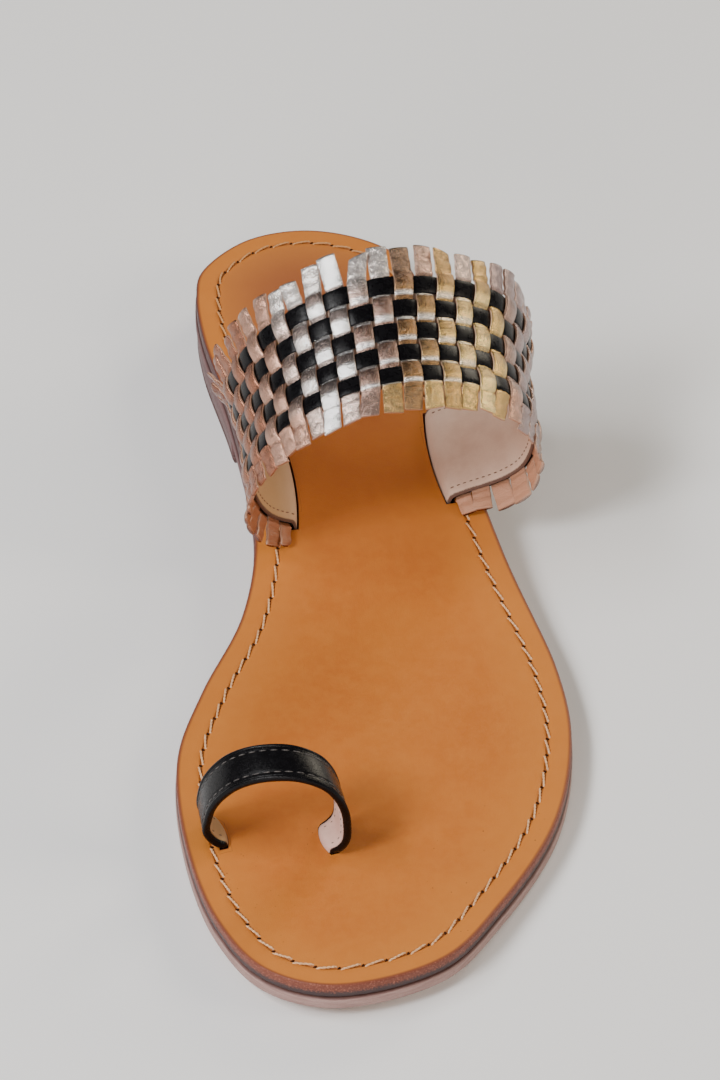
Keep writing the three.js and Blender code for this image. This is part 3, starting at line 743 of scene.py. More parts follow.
@dataclass
class SoleLayer:
    """One closed layer of the sole, built from rings that step in from the outline.

    Each profile row is (inset from the outline, share of the layer's height, rise above that),
    from the lower face round the edge to the upper face. The faces are filled by straight
    lines across the sole.
    """

    name: str
    shape: SoleShape
    plan: Plan
    low: Height
    high: Height
    profile: Sequence[Triple]
    stations: int = 150
    across: int = 28

    def ring(self) -> Array:
        """Draws the closed ring in plan: the medial side, the lateral side and any straight breast.

        The stations are spaced by a cosine, so they crowd towards the round ends.

        Returns:
            The points, one a row.
        """
        shape, count = self.shape, self.stations
        toe, heel = shape.curve[:, 1].min(), shape.curve[:, 1].max()
        j = np.arange(count + 1) / count
        if self.plan is Plan.FULL:
            y = lerp(toe, heel, 0.5 - 0.5 * np.cos(np.pi * j))
        else:
            y = lerp(shape.along(shape.breast), heel, np.sin(0.5 * np.pi * j))
        left, right = shape.edges(y)
        medial, lateral = np.column_stack([left, y]), np.column_stack([right, y])
        lateral[-1] = medial[-1]
        if self.plan is Plan.FULL:
            lateral[0] = medial[0]
            return np.vstack([medial, lateral[-2:0:-1]])
        t = np.arange(self.across - 1, 0, -1)[:, None] / self.across
        return np.vstack([medial, lateral[-2::-1], lerp(medial[:1], lateral[:1], t)])

    def inset(self, ring: Array, distance: float) -> Array:
        """Moves the ring inwards with a mitre at each point.

        With n and m the inward normals of the edges before and after a point, it moves by
        distance (n + m) / (1 + n.m).

        Args:
            ring: The closed ring.
            distance: Millimetres inwards.

        Returns:
            The new ring.
        """
        edge = unit(np.roll(ring, -1, axis=0) - ring)
        inward = np.column_stack([edge[:, 1], -edge[:, 0]])
        before = np.roll(inward, 1, axis=0)
        dot = (before * inward).sum(1, keepdims=True)
        return ring + distance * (before + inward) / (1.0 + dot)

    def height(self, plan: Array, level: float, rise: float) -> Array:
        """Returns the height over each point of the plan."""
        y = plan[..., 1]
        return lerp(self.low(y), self.high(y), level) + rise

    def face(self, ring: Array, level: float, rise: float, up: bool) -> Patch:
        """Fills a ring with straight lines across the sole.

        Args:
            ring: The ring in plan.
            level: Share of the layer's height.
            rise: Millimetres above that.
            up: Whether the face looks up.

        Returns:
            The patch.
        """
        n, heel = self.stations, self.plan is Plan.HEEL
        medial = ring[:n + 1]
        lateral = ring[n:2 * n + 1] if heel else np.vstack([ring[n:2 * n], ring[:1]])
        t = (np.arange(self.across + 1) / self.across)[None, :, None]
        plan = lerp(medial[:, None], lateral[::-1][:, None], t)
        if heel:
            plan[0, 1:-1] = ring[2 * n + 1:][::-1]
        plan = plan[:, ::-1] if up else plan
        points = np.dstack([plan, self.height(plan, level, rise)])
        distance = self.distance(plan)
        return Patch(points, plan, {"rim": distance, "wall": np.zeros(distance.shape),
                                    "level": np.full(distance.shape, level)})

    def distance(self, plan: Array) -> Array:
        """Returns the distance in plan from each point to the nearest sample of the outline."""
        outline = self.shape.curve[None, ::12]
        blocks = np.array_split(plan.reshape(-1, 1, 2), 24)
        parts = [np.sqrt(((block - outline) ** 2).sum(-1)).min(1) for block in blocks]
        return np.concatenate(parts).reshape(plan.shape[:2])

    def build(self) -> bpy.types.Object:
        """Returns the closed layer, whose points carry rim, wall and level."""
        ring = self.ring()
        rings = [self.inset(ring, row[0]) for row in self.profile]
        points = np.stack([
            np.column_stack([plan, self.height(plan, row[1], row[2])])
            for plan, row in zip(rings, self.profile)
        ])
        inset, share, lift = np.array(self.profile).T
        on_wall = np.where(share > 0.9, inset < 0.25, (share > 0) | (lift > 0))
        rim, wall = (np.repeat(row[:, None], len(ring), axis=1) for row in (np.abs(inset), on_wall * 1.0))
        y = points[..., 1]
        level = (points[..., 2] - self.low(y)) / (self.high(y) - self.low(y))
        length = arc_lengths(np.vstack([ring, ring[:1]]))[:-1]
        rise = arc_lengths(np.column_stack([inset, 4.0 * share]))
        uv = np.dstack(np.broadcast_arrays(length[None, :], rise[:, None]))
        side = Patch(points, uv, {"rim": rim, "wall": wall, "level": level}, close_columns=True)
        faces = [self.face(rings[k], *self.profile[k][1:], up=k < 0) for k in (0, -1)]
        return make_object(self.name, [side, *faces], weld=0.0005)


# Straps


@dataclass(frozen=True)
class Section:
    """Seats and arch of one edge of a strap, in millimetres."""

    medial_seat: Pair
    lateral_seat: Pair
    bulge_medial: float
    bulge_lateral: float
    crown: float


@dataclass
class StrapSurface:
    """Ruled surface of a strap between its front and its rear arch.

    A point is found from its share of the strap's length, the millimetres along the ruling
    from the front edge and the millimetres outwards from the lining face. Shares below 0 and
    above 1 run down into the slots of the footbed.

    The legs are rows (share of the bulge outwards, share of the crown's height), and the arch is
    rows (-1 to 1 from limb to limb, share of the crown's height). The strap leans to the front
    by lean for each millimetre that it rises.
    """

    shape: SoleShape
    front: Section
    rear: Section
    leg_medial: Sequence[Pair]
    arch: Sequence[Pair]
    leg_lateral: Sequence[Pair]
    lean: float
    samples: int = 1600
    sink: float = 3.4

    def __post_init__(self) -> None:
        """Works out both edges, the rulings and the outward normals at even shares."""
        front_share, front = self.edge(self.front)
        rear_share, rear = self.edge(self.rear)
        self.share = np.linspace(max(front_share[0], rear_share[0]),
                                 min(front_share[-1], rear_share[-1]), self.samples)
        self.front_line = interpolate(self.share, front_share, front)
        rear_line = interpolate(self.share, rear_share, rear)
        self.ruling = rear_line - self.front_line
        self.width = np.linalg.norm(self.ruling, axis=1)
        tangent = sum(unit(np.gradient(line, axis=0)) for line in (self.front_line, rear_line))
        self.normal = unit(np.cross(tangent, self.ruling))

    def edge(self, size: Section) -> tuple[Array, Array]:
        """Draws one edge: down in the slot, up the leg, over the arch and down again.

        Args:
            size: Seats, bulges and crown height of this edge.

        Returns:
            The share at each sample, 0 and 1 at the seats, and the samples.
        """
        (medial_x, medial_y), (lateral_x, lateral_y) = size.medial_seat, size.lateral_seat
        medial_z, lateral_z = (float(self.shape.footbed_top(y)) for y in (medial_y, lateral_y))
        limbs = medial_x - size.bulge_medial, lateral_x + size.bulge_lateral
        middle, half = (limbs[0] + limbs[1]) / 2, (limbs[1] - limbs[0]) / 2
        medial, arch, lateral = (np.array(t) for t in (self.leg_medial, self.arch, self.leg_lateral))
        x = np.r_[medial_x - size.bulge_medial * medial[:, 0], middle + half * arch[:, 0],
                  lateral_x + size.bulge_lateral * lateral[:, 0]]
        up = np.r_[medial[:, 1], arch[:, 1], lateral[:, 1]]
        share = (x - medial_x) / (lateral_x - medial_x)
        y = medial_y + (lateral_y - medial_y) * share - self.lean * size.crown * up
        z = medial_z + (lateral_z - medial_z) * np.clip(share, 0, 1) + size.crown * up
        curve = catmull_rom(np.column_stack([x, y, z]), 40)
        down = np.array([0.0, 0.0, -1.0]) * np.linspace(self.sink, 0.2, 8)[:, None]
        full = np.vstack([curve[:1] + down, curve, curve[-1:] + down[::-1]])
        length = arc_lengths(full)
        start, end = length[len(down)], length[-1 - len(down)]
        return (length - start) / (end - start), full

    def length(self, v: float | Array) -> float | Array:
        """Returns the strap's length from seat to seat at a share v of its width."""
        inside = (self.share >= 0) & (self.share <= 1)
        front, rear = self.front_line[inside], (self.front_line + self.ruling)[inside]
        return lerp(arc_lengths(front)[-1], arc_lengths(rear)[-1], v)

    def place(self, share: Array, along: Array, out: Array) -> Array:
        """Finds points of the strap.

        A point is the front edge at its share + ruling direction * along + normal * out.

        Args:
            share: Shares of the length.
            along: Millimetres along the ruling from the front edge.
            out: Millimetres outwards from the lining face.

        Returns:
            The points.
        """
        share, along, out = np.broadcast_arrays(share, along, out)
        front = interpolate(share, self.share, self.front_line)
        ruling = unit(interpolate(share, self.share, self.ruling))
        normal = unit(interpolate(share, self.share, self.normal))
        return front + ruling * along[..., None] + normal * out[..., None]

    def width_at(self, share: Array) -> Array:
        """Returns the length of the ruling at each share."""
        return np.interp(share, self.share, self.width)


def round_section(width: float, thickness: float, dome: float) -> Array:
    """Draws the section of a strip: a slightly domed upper face and rounded sides.

    Args:
        width: Full width.
        thickness: Full thickness.
        dome: Extra height in the middle of the upper face.

    Returns:
        Rows (across, out) from the section's middle, anticlockwise from its lower right corner.
    """
    radius = thickness * 0.42
    half, high = width / 2 - radius, thickness / 2 - radius
    turn = np.linspace(0, np.pi / 2, 3)
    across = np.linspace(half, -half, 5)[1:-1]
    top = np.column_stack([across, thickness / 2 + dome * (1 - (across / half) ** 2)])
    right = [(half + radius * np.cos(t), high + radius * np.sin(t)) for t in turn]
    left = [(-half - radius * np.sin(t), high + radius * np.cos(t)) for t in turn]
    low_left = [(-half - radius * np.cos(t), -high - radius * np.sin(t)) for t in turn]
    low_right = [(half + radius * np.sin(t), -high - radius * np.cos(t)) for t in turn]
    return np.vstack([low_right, right, top, left, low_left])


def stitch_run(place: Placing, share: Array, along: Array, out: Array, half: float,
               radius: float, side: float) -> list[Patch]:
    """Builds a run of small stitches on a strap.

    Each stitch is a bead of six sides. With t from -1 to 1 along it, its radius is the thread's
    times the root of 1 - t^2, held above a small value at the ends.

    Args:
        place: Finds points of the strap.
        share: Share of each stitch's middle.
        along: Millimetres of each stitch from the front edge.
        out: Height of the leather face under each stitch.
        half: Half of a stitch's length as a share.
        radius: Radius of the thread.
        side: 1 on the outer face and -1 on the lining face.

    Returns:
        One patch a stitch.
    """
    t = np.linspace(-1, 1, 5)
    angle = np.arange(6) * np.pi / 3
    size = radius * np.sqrt(np.maximum(1 - t**2, 0.08))
    patches = []
    for middle, edge, face in zip(share, along, out):
        ring_out = face + side * radius * 0.2 + size[:, None] * np.sin(angle)
        ring_along = edge + size[:, None] * np.cos(angle)
        patches.append(tube(place(middle + half * t[:, None], ring_along, ring_out)[:, ::-1]))
    return patches


@dataclass(frozen=True)
class TabPose:
    """How one strip end is bent: degrees sideways, outwards and rolled, and its length."""

    yaw: float = 0.0
    lift: float = 0.0
    roll: float = 0.0
    length: float = 1.0


@dataclass(frozen=True)
class FoilAndPaintedLightLook:
    """How one strip looks: its tint at the front end, in the weave and at the rear end. The tints are
    partly the foil's colour and partly painted reflection of the lamps.

    Wear is the share worn off. The shade value is how much the rear of each crossing is darkened
    as painted shade, and the glint value how much the fold at its front is whitened as a painted highlight.
    """

    front: Colour
    middle: Colour
    rear: Colour
    wear: float
    painted_shade: float
    painted_glint: float


# Strip ends given one by one, by the number of the column
FRONT_TABS: dict[int, TabPose] = {
    0: TabPose(lift=10, length=0.9), 1: TabPose(-8, 24, 10), 2: TabPose(6, 16, -8, 1.1),
    3: TabPose(-5, 20, 6), 4: TabPose(4, 12), 12: TabPose(-6), 13: TabPose(-8), 14: TabPose(-8),
    15: TabPose(-8), 16: TabPose(-12, length=0.97), 17: TabPose(1), 19: TabPose(2), 20: TabPose(3),
    31: TabPose(4, 4), 32: TabPose(-3, 8, 5, 0.9), 33: TabPose(4, 2, -4, 0.8), 34: TabPose(-2, 5, 4, 0.75),
}
REAR_TABS: dict[int, TabPose] = {
    3: TabPose(-10, 24, 12), 4: TabPose(6, 30, -10, 0.9), 5: TabPose(-6, 22, 8), 6: TabPose(8, 16),
    7: TabPose(-4, 14, 6), 8: TabPose(3, 10), 9: TabPose(-4, 8), 10: TabPose(0, 6), 11: TabPose(3, 4),
    12: TabPose(4), 13: TabPose(-5), 14: TabPose(4, 8, 4), 15: TabPose(-4, 14, 8), 16: TabPose(8, 0, 9),
    17: TabPose(2, 4, 13), 18: TabPose(0, length=0.95), 20: TabPose(-9), 21: TabPose(-1),
    22: TabPose(-2), 23: TabPose(-2),
}


def chart_foil_and_painted_light() -> list[FoilAndPaintedLightLook]:
    """Charts the foil strip by strip, from the medial end.

    Each row is how many strips look alike, their three tints, wear, painted shade and painted glint.
    The tints are partly the foil's colour and partly painted reflection: white and silver where the
    lamps glare, darker mauve where no lamp is reflected.

    Returns:
        One look for each column.
    """
    copper, rose, rose_beige = srgb(146, 92, 70), srgb(168, 114, 90), srgb(200, 156, 134)
    champagne, pearl, silver = srgb(202, 168, 150), srgb(212, 188, 176), srgb(228, 220, 214)
    painted_glare_white, mauve, pink = srgb(252, 250, 248), srgb(176, 146, 132), srgb(168, 146, 142)
    bronze, brown, old_gold = srgb(168, 132, 92), srgb(150, 122, 100), srgb(200, 164, 104)
    dull_gold, gold, pale_gold = srgb(188, 154, 104), srgb(226, 190, 120), srgb(238, 208, 142)
    # Painted reflection: the whites and silvers of the middle columns stand in for the lamps' glare, the
    # darker mauves for columns that reflect no lamp.
    rows = (
        (5, copper, copper, copper, 0.3, 0.3, 0.0),
        (5, rose, rose, rose, 0.3, 0.4, 0.0),
        (2, rose_beige, rose_beige, rose_beige, 0.3, 0.5, 0.0),
        (1, rose_beige, pearl, silver, 0.3, 0.6, 0.0),
        (1, pearl, silver, silver, 0.4, 0.75, 0.0),
        (1, painted_glare_white, painted_glare_white, silver, 0.35, 0.85, 0.0),
        (1, pearl, painted_glare_white, painted_glare_white, 0.15, 0.85, 0.0),
        (1, mauve, mauve, silver, 0.7, 0.4, 0.7),
        (1, old_gold, mauve, silver, 0.7, 0.3, 0.8),
        (1, bronze, bronze, brown, 0.65, 0.5, 0.9),
        (1, gold, dull_gold, champagne, 0.55, 0.6, 0.7),
        (1, old_gold, gold, dull_gold, 0.45, 0.55, 0.5),
        (1, gold, pale_gold, pearl, 0.55, 0.5, 0.4),
        (1, pale_gold, pale_gold, old_gold, 0.2, 0.5, 0.0),
        (1, old_gold, gold, pink, 0.2, 0.45, 0.0),
        (1, rose_beige, mauve, pink, 0.25, 0.35, 0.0),
        (3, pink, pink, pink, 0.25, 0.35, 0.0),
        (4, mauve, mauve, rose, 0.3, 0.35, 0.0),
        (3, copper, copper, copper, 0.3, 0.0, 0.0),
    )
    return [FoilAndPaintedLightLook(*look) for count, *look in rows for _ in range(count)]


FOIL_AND_PAINTED_LIGHT_CHART = chart_foil_and_painted_light()


@dataclass
class InstepBand:
    """Woven instep band: foiled strips across, black strips along, over a stitched lining.

    Sizes are in millimetres. Rows run along the band, the front one first, and columns run
    across it, the medial one first. Foil lies on top where column and row are both even or
    both odd. Levels are heights of a strip's middle above the lining face, and an arch is its
    bulge to the medial and the lateral side and its height.
    """

    shape: SoleShape
    rows: int = 5
    row_pitch: float = 5.8
    columns: int = 35
    plain_leg: float = 0.015
    medial_squeeze: float = 0.16
    squeeze_from: float = 0.25
    squeeze_to: float = 0.45
    edge_splay: float = 1.3
    front_share: Pair = (0.5757, 0.599)
    lean: float = 0.3
    front_inset: Pair = (9.9, 8.5)
    rear_inset: Pair = (10.1, 6.6)
    front_arch: Triple = (10.3, 19.1, 51.0)
    rear_arch: Triple = (11.4, 22.9, 57.4)
    foil_width_share: float = 0.935
    foil_thickness: float = 0.78
    foil_dome: float = 0.2
    dive_thinning: float = 0.85
    black_width: float = 4.25
    black_thickness: float = 0.6
    black_dome: float = 0.14
    black_leg_level: float = 0.9
    foil_over: float = 2.2
    foil_under: float = 0.85
    black_over: float = 1.62
    black_under: float = 1.22
    fringe_front: float = 5.9
    fringe_rear: float = 6.6
    tab_level: float = 1.35
    fringe_bend: tuple[Pair, ...] = ((0, 8), (0.24, 8), (0.35, -7), (0.41, -7), (0.46, 0), (0.5, 0))
    rear_lift: float = 2.0
    yaw_spread: float = 2.5
    lift_spread: float = 3.0
    roll_spread: float = 5.0
    slant_spread: float = 0.12
    front_length_spread: Pair = (-0.7, 0.6)
    rear_length_spread: Pair = (-0.8, 0.7)
    pinch: float = 0.3
    pinch_place: float = 0.7
    pinch_width: float = 0.35
    ripple: float = 0.12
    ripple_turn: float = 2.1
    strip_shift: float = 37.0
    # Painted shade behind the fold of each crossing and a painted glint at its front, for the dark and
    # bright reflections in the foil.
    foil_painted_shade: Colour = srgb(92, 66, 54)
    foil_painted_glint: Colour = srgb(252, 250, 248)
    painted_shade_start: float = 0.3
    painted_shade_blend: float = 0.24
    painted_glint_end: float = 0.12
    painted_glint_blend: float = 0.1
    lining_stain: Colour = srgb(84, 50, 36)
    lining_thickness: float = 0.6
    lining_margin: float = 0.35
    stitch_margin: float = 2.6
    slot_thickness: float = 1.75
    slot_clearance: float = 0.1
    slot_opening: float = 0.5
    stitch_pitch: float = 1.5
    stitch_half: float = 0.42
    stitch_radius: float = 0.16
    leg_medial: tuple[Pair, ...] = (
        (0, 0), (0.06, 0.05), (0.3, 0.085), (0.56, 0.135), (0.78, 0.22), (0.91, 0.31))
    leg_lateral: tuple[Pair, ...] = (
        (0.965, 0.285), (0.86, 0.19), (0.66, 0.13), (0.42, 0.095), (0.2, 0.07), (0.04, 0.04), (0, 0))
    arch: tuple[Pair, ...] = (
        (-1, 0.42), (-0.965, 0.53), (-0.87, 0.68), (-0.7, 0.82), (-0.48, 0.92), (-0.22, 0.985),
        (0.04, 1), (0.28, 0.965), (0.52, 0.9), (0.74, 0.8), (0.885, 0.68), (0.965, 0.55), (1, 0.42))

    def __post_init__(self) -> None:
        """Sets up the surface that every layer of the band follows."""
        width = self.rows * self.row_pitch
        self.surface = StrapSurface(
            self.shape,
            Section(*self.seats(self.front_inset, 0.0), *self.front_arch),
            Section(*self.seats(self.rear_inset, width), *self.rear_arch),
            self.leg_medial, self.arch, self.leg_lateral, self.lean)
        self.starts = self.column_starts()
        self.random = np.random.default_rng(7)

    def seats(self, inset: Pair, back: float) -> tuple[Pair, Pair]:
        """Returns the seats of one edge on the footbed.

        Args:
            inset: Distance of the medial and of the lateral seat from the sole's edge.
            back: Distance of this edge behind the band's front edge.

        Returns:
            The medial and the lateral seat, in plan.
        """
        y = self.shape.along(np.array(self.front_share)) + back
        left, right = self.shape.edges(y)
        return (left[0] + inset[0], y[0]), (right[1] - inset[1], y[1])

    def column_starts(self) -> Array:
        """Returns the share at which each column starts; the medial ones are a little narrower."""
        steps = 400
        middle = (np.arange(steps) + 0.5) / steps
        widening = smooth_step((middle - self.squeeze_from) / (self.squeeze_to - self.squeeze_from))
        totals = np.r_[0.0, np.cumsum(1.0 / (1.0 - self.medial_squeeze * (1.0 - widening)))]
        goal = totals[-1] * np.arange(self.columns + 1) / self.columns
        share = np.interp(goal, totals, np.arange(steps + 1) / steps)
        return self.plain_leg + (1 - 2 * self.plain_leg) * share

    def waist(self, v: Array) -> Array:
        """Returns how far the middle of the band draws in: splay * 4v(1 - v) between the edges."""
        held = np.clip(v, 0.0, 1.0)
        return self.edge_splay * 4 * held * (1 - held)

    def foil_level(self, column: int, along: Array) -> Array:
        """Height of the middle of a foil strip above the lining face.

        Over its rows the strip rides high, and it dives under the black strips of the rows
        between, with a smooth step where two rows meet. Beyond the edges it keeps the level
        of the strip ends.

        Args:
            column: Number of the column.
            along: Millimetres from the front edge.

        Returns:
            Heights in millimetres.
        """
        position = along / self.row_pitch
        row = np.floor(position)
        swing = np.sin(np.pi * np.clip(position - row, 0.0, 1.0)) ** 0.85
        middle = (self.foil_over + self.foil_under) / 2
        half = (self.foil_over - self.foil_under) / 2
        level = middle + np.where((column + row) % 2 == 0, half, -half) * swing
        outside = np.maximum(-along, along - self.rows * self.row_pitch)
        settled = smooth_step((outside + 0.3) / 1.3)
        return lerp(level, self.tab_level, settled)

    def foil_strip(self, column: int) -> Patch:
        """Builds one foiled strip from its front end to its rear end.

        The section is carried along the ruling at the column's middle. Past each edge it runs
        on as a free end with its own small turn, lift and length. It is pinched just past the
        edge, by the pinch times exp(-((past - pinch_place) / pinch_width)^2), and ripples a little.

        Args:
            column: Number of the column.

        Returns:
            The closed strip.
        """
        rnd = self.random
        start, end = self.starts[column:column + 2]
        middle = (start + end) / 2
        width = float(self.surface.width_at(middle))
        strip = (end - start) * self.surface.length(0.0) * self.foil_width_share
        poses = FRONT_TABS.get(column, TabPose()), REAR_TABS.get(column, TabPose())
        front = (self.fringe_front + rnd.uniform(*self.front_length_spread)) * poses[0].length
        rear = (self.fringe_rear + rnd.uniform(*self.rear_length_spread)) * poses[1].length
        steps = np.linspace(0.06, 1, 11)
        inner = np.linspace(0, width, self.rows * 12 + 1)
        along = np.r_[-front * steps[::-1], inner, width + rear * steps]
        beyond = np.array([np.maximum(-along, 0), np.maximum(along - width, 0)])
        reach = np.clip(beyond / [[front], [rear]], 0, 1)
        bend = np.interp(abs(middle - 0.5), *np.array(self.fringe_bend).T)
        yaw = np.radians(rnd.normal(0, self.yaw_spread, 2) + [pose.yaw for pose in poses])
        lift = rnd.normal(0, self.lift_spread, 2) + (-bend, self.rear_lift)
        lift = np.radians(lift + [pose.lift for pose in poses])
        roll = np.radians(rnd.normal(0, self.roll_spread, 2) + [pose.roll for pose in poses])
        slant = rnd.normal(0, self.slant_spread, 2)
        drawn = self.waist(along / width)
        level = self.foil_level(column, along * (self.rows * self.row_pitch / width))
        level = level - drawn + np.sin(lift) @ beyond
        for past in beyond:
            level -= self.pinch * np.exp(-((past - self.pinch_place) / self.pinch_width) ** 2) * (past > 0)
            level += self.ripple * np.sin(self.ripple_turn * past + rnd.uniform(0, 6)) * (past > 0)
        section = round_section(strip, self.foil_thickness, self.foil_dome)
        across = np.tile(section[:, 0], (len(along), 1))
        thin = np.where(level + drawn < 1.2, self.dive_thinning, 1.0)
        out = level[:, None] + section[:, 1][None, :] * thin[:, None]
        out = out + across * (np.tan(roll) @ reach)[:, None]
        down = along[:, None] + across * (slant @ reach)[:, None]
        v = np.clip(down / width, -0.25, 1.25)
        share = middle + (across + (np.tan(yaw) @ beyond)[:, None]) / self.surface.length(v)
        face = smooth_step((section[:, 1] / (self.foil_thickness / 2) + 0.1) / 0.7)
        edge = smooth_step((np.abs(section[:, 0]) / (strip / 2) - 0.9) / 0.08)
        face, edge = (np.tile(row, (len(along), 1)) for row in (face, edge))
        tint, wear = self.foil_look(column, along / width, across.shape[1])
        uv = np.dstack([across + self.strip_shift * column, down])
        return tube(self.surface.place(share, down, out), uv, tint=tint, face=face, wear=wear, cut=edge)

    def foil_look(self, column: int, v: Array, count: int) -> tuple[Array, Array]:
        """Chooses the foil's tint and wear along one strip, with painted shade behind the fold of each
        crossing and a painted glint on the fold.

        Args:
            column: Number of the column.
            v: Share of the band's width at each row of points.
            count: Points round the section.

        Returns:
            The tint, with its painted shade and painted glint, and the wear at each point.
        """
        look = FOIL_AND_PAINTED_LIGHT_CHART[column]
        stops = np.array([look.front, look.front, look.middle, look.middle, look.rear, look.rear])
        tint = interpolate(v, np.array([-0.25, 0.02, 0.12, 0.84, 0.98, 1.25]), stops)
        place = v * self.rows
        local, woven = place - np.floor(place), (v > 0) & (v < 1)
        # Painted shade on the rear of each crossing and a painted highlight on the fold at its front.
        painted_shade_share = smooth_step((local - self.painted_shade_start) / self.painted_shade_blend) * woven
        painted_glint_share = (1 - smooth_step((local - self.painted_glint_end) / self.painted_glint_blend)) * woven
        tint = lerp(tint, np.array(self.foil_painted_shade), (look.painted_shade * painted_shade_share)[:, None])
        tint = lerp(tint, np.array(self.foil_painted_glint), (look.painted_glint * painted_glint_share)[:, None])
        wear = look.wear * np.interp(v, (-0.05, 0.04, 0.96, 1.05), (1.15, 0.5, 0.5, 1.15))
        return np.repeat(tint[:, None], count, axis=1), np.repeat(wear[:, None], count, axis=1)

    def black_strip(self, row: int) -> Patch:
        """Builds one black strip from slot to slot, over and under the foiled ones.

        Args:
            row: Number of the row.

        Returns:
            The closed strip.
        """
        steps = np.diff(self.starts)[:, None] * np.arange(8) / 8
        inner = np.r_[(self.starts[:-1, None] + steps).ravel(), self.starts[-1]]
        first, last = self.surface.share[[0, -1]]
        share = np.r_[np.linspace(first, inner[0], 8)[:-1], inner, np.linspace(inner[-1], last, 8)[1:]]
        position = np.interp(share, self.starts, np.arange(self.columns + 1))
        column = np.clip(np.floor(position), 0, self.columns - 1)
        over = np.where((column + row) % 2 == 1, 1.0, -1.0)
        swing = over * np.sin(np.pi * np.clip(position - column, 0, 1)) ** 0.35
        swing = np.where((share < self.starts[0]) | (share > self.starts[-1]), -0.5, swing)
        middle = (self.black_over + self.black_under) / 2
        level = middle + swing * (self.black_over - self.black_under) / 2
        across, thick = round_section(self.black_width, self.black_thickness, self.black_dome).T[:, None]
        width = self.surface.width_at(share)[:, None]
        along = width * ((row + 0.5) / self.rows) + across
        legs = ((share < 0) | (share > 1))[:, None]
        out = level[:, None] + thick - self.waist(along / width)
        out = np.where(legs, self.black_leg_level + thick * self.black_leg_level, out)
        return tube(self.surface.place(share[:, None], along, out)[:, ::-1])

    def lining(self) -> Patch:
        """Builds the lining: a thin sheet on the inner face, with slightly rounded edges."""
        share = np.linspace(self.surface.share[0], self.surface.share[-1], 220)[:, None]
        width = self.surface.width_at(share)
        margin, thick = self.lining_margin, self.lining_thickness
        v = np.linspace(0, 1, 26)
        inner, outer = np.column_stack([v, np.zeros(26)]), np.column_stack([v[::-1], np.ones(26)])
        side, height = np.vstack([inner, [[1.0, 0.5]], outer, [[0.0, 0.5]]]).T[:, None]
        rounding = np.where(np.abs(height - 0.5) < 0.1, 0.12, 0.0) * np.sign(side - 0.5)
        along = margin + (width - 2 * margin) * side + rounding
        out = thick * height - self.waist(along / width)
        rim = np.minimum(side, 1 - side) * width
        return tube(self.surface.place(share, along, out), turn_over=True, rim=rim)

    def lining_stitches(self) -> list[Patch]:
        """Builds the small stitches along both edges of the lining."""
        patches = []
        for edge in (0.0, 1.0):
            length = float(self.surface.length(edge))
            count = int(length * 0.96 / self.stitch_pitch)
            centre = np.linspace(0.02, 0.98, count)
            width = self.surface.width_at(centre)
            along = lerp(self.stitch_margin, width - self.stitch_margin, edge)
            patches += stitch_run(self.surface.place, centre, along, -self.waist(along / width),
                                  self.stitch_half / length, self.stitch_radius, -1.0)
        return patches

    def slot(self, share: float) -> Array:
        """Returns the outline of the slot at one seat, open a little on the lining's side.

        Args:
            share: 0 for the medial seat or 1 for the lateral one.

        Returns:
            The closed outline, one point a row.
        """
        width = float(self.surface.width_at(np.array(share)))
        along = np.linspace(-self.slot_clearance, width + self.slot_clearance, 13)
        drawn = self.waist(along / width)
        low = self.surface.place(np.array(share), along, -self.slot_opening - drawn)
        high = self.surface.place(np.array(share), along,
                                  self.slot_thickness + self.slot_clearance - drawn)
        return np.vstack([low, high[::-1]])

    def build(self) -> None:
        """Builds and dresses every layer of the band."""
        black_leather = BlackLeather("band_black_leather", rough=0.27, relief=0.03, crease=0.2, index=1.24)
        thread = Thread("lining_thread", srgb(150, 118, 96), srgb(110, 80, 62))
        foil = [self.foil_strip(column) for column in range(self.columns)]
        black = [self.black_strip(row) for row in range(self.rows)]
        for name, patches, finish, slot in (
                ("band_foil_strips", foil, FoilLeather(), "woven_leather"),
                ("band_black_strips", black, black_leather, "loop_leather"),
                ("band_lining", [self.lining()], LiningLeather(stain=self.lining_stain), "woven_leather"),
                ("band_lining_stitches", self.lining_stitches(), thread, "woven_leather")):
            dress(make_object(name, patches), finish.build(), "instep_band")


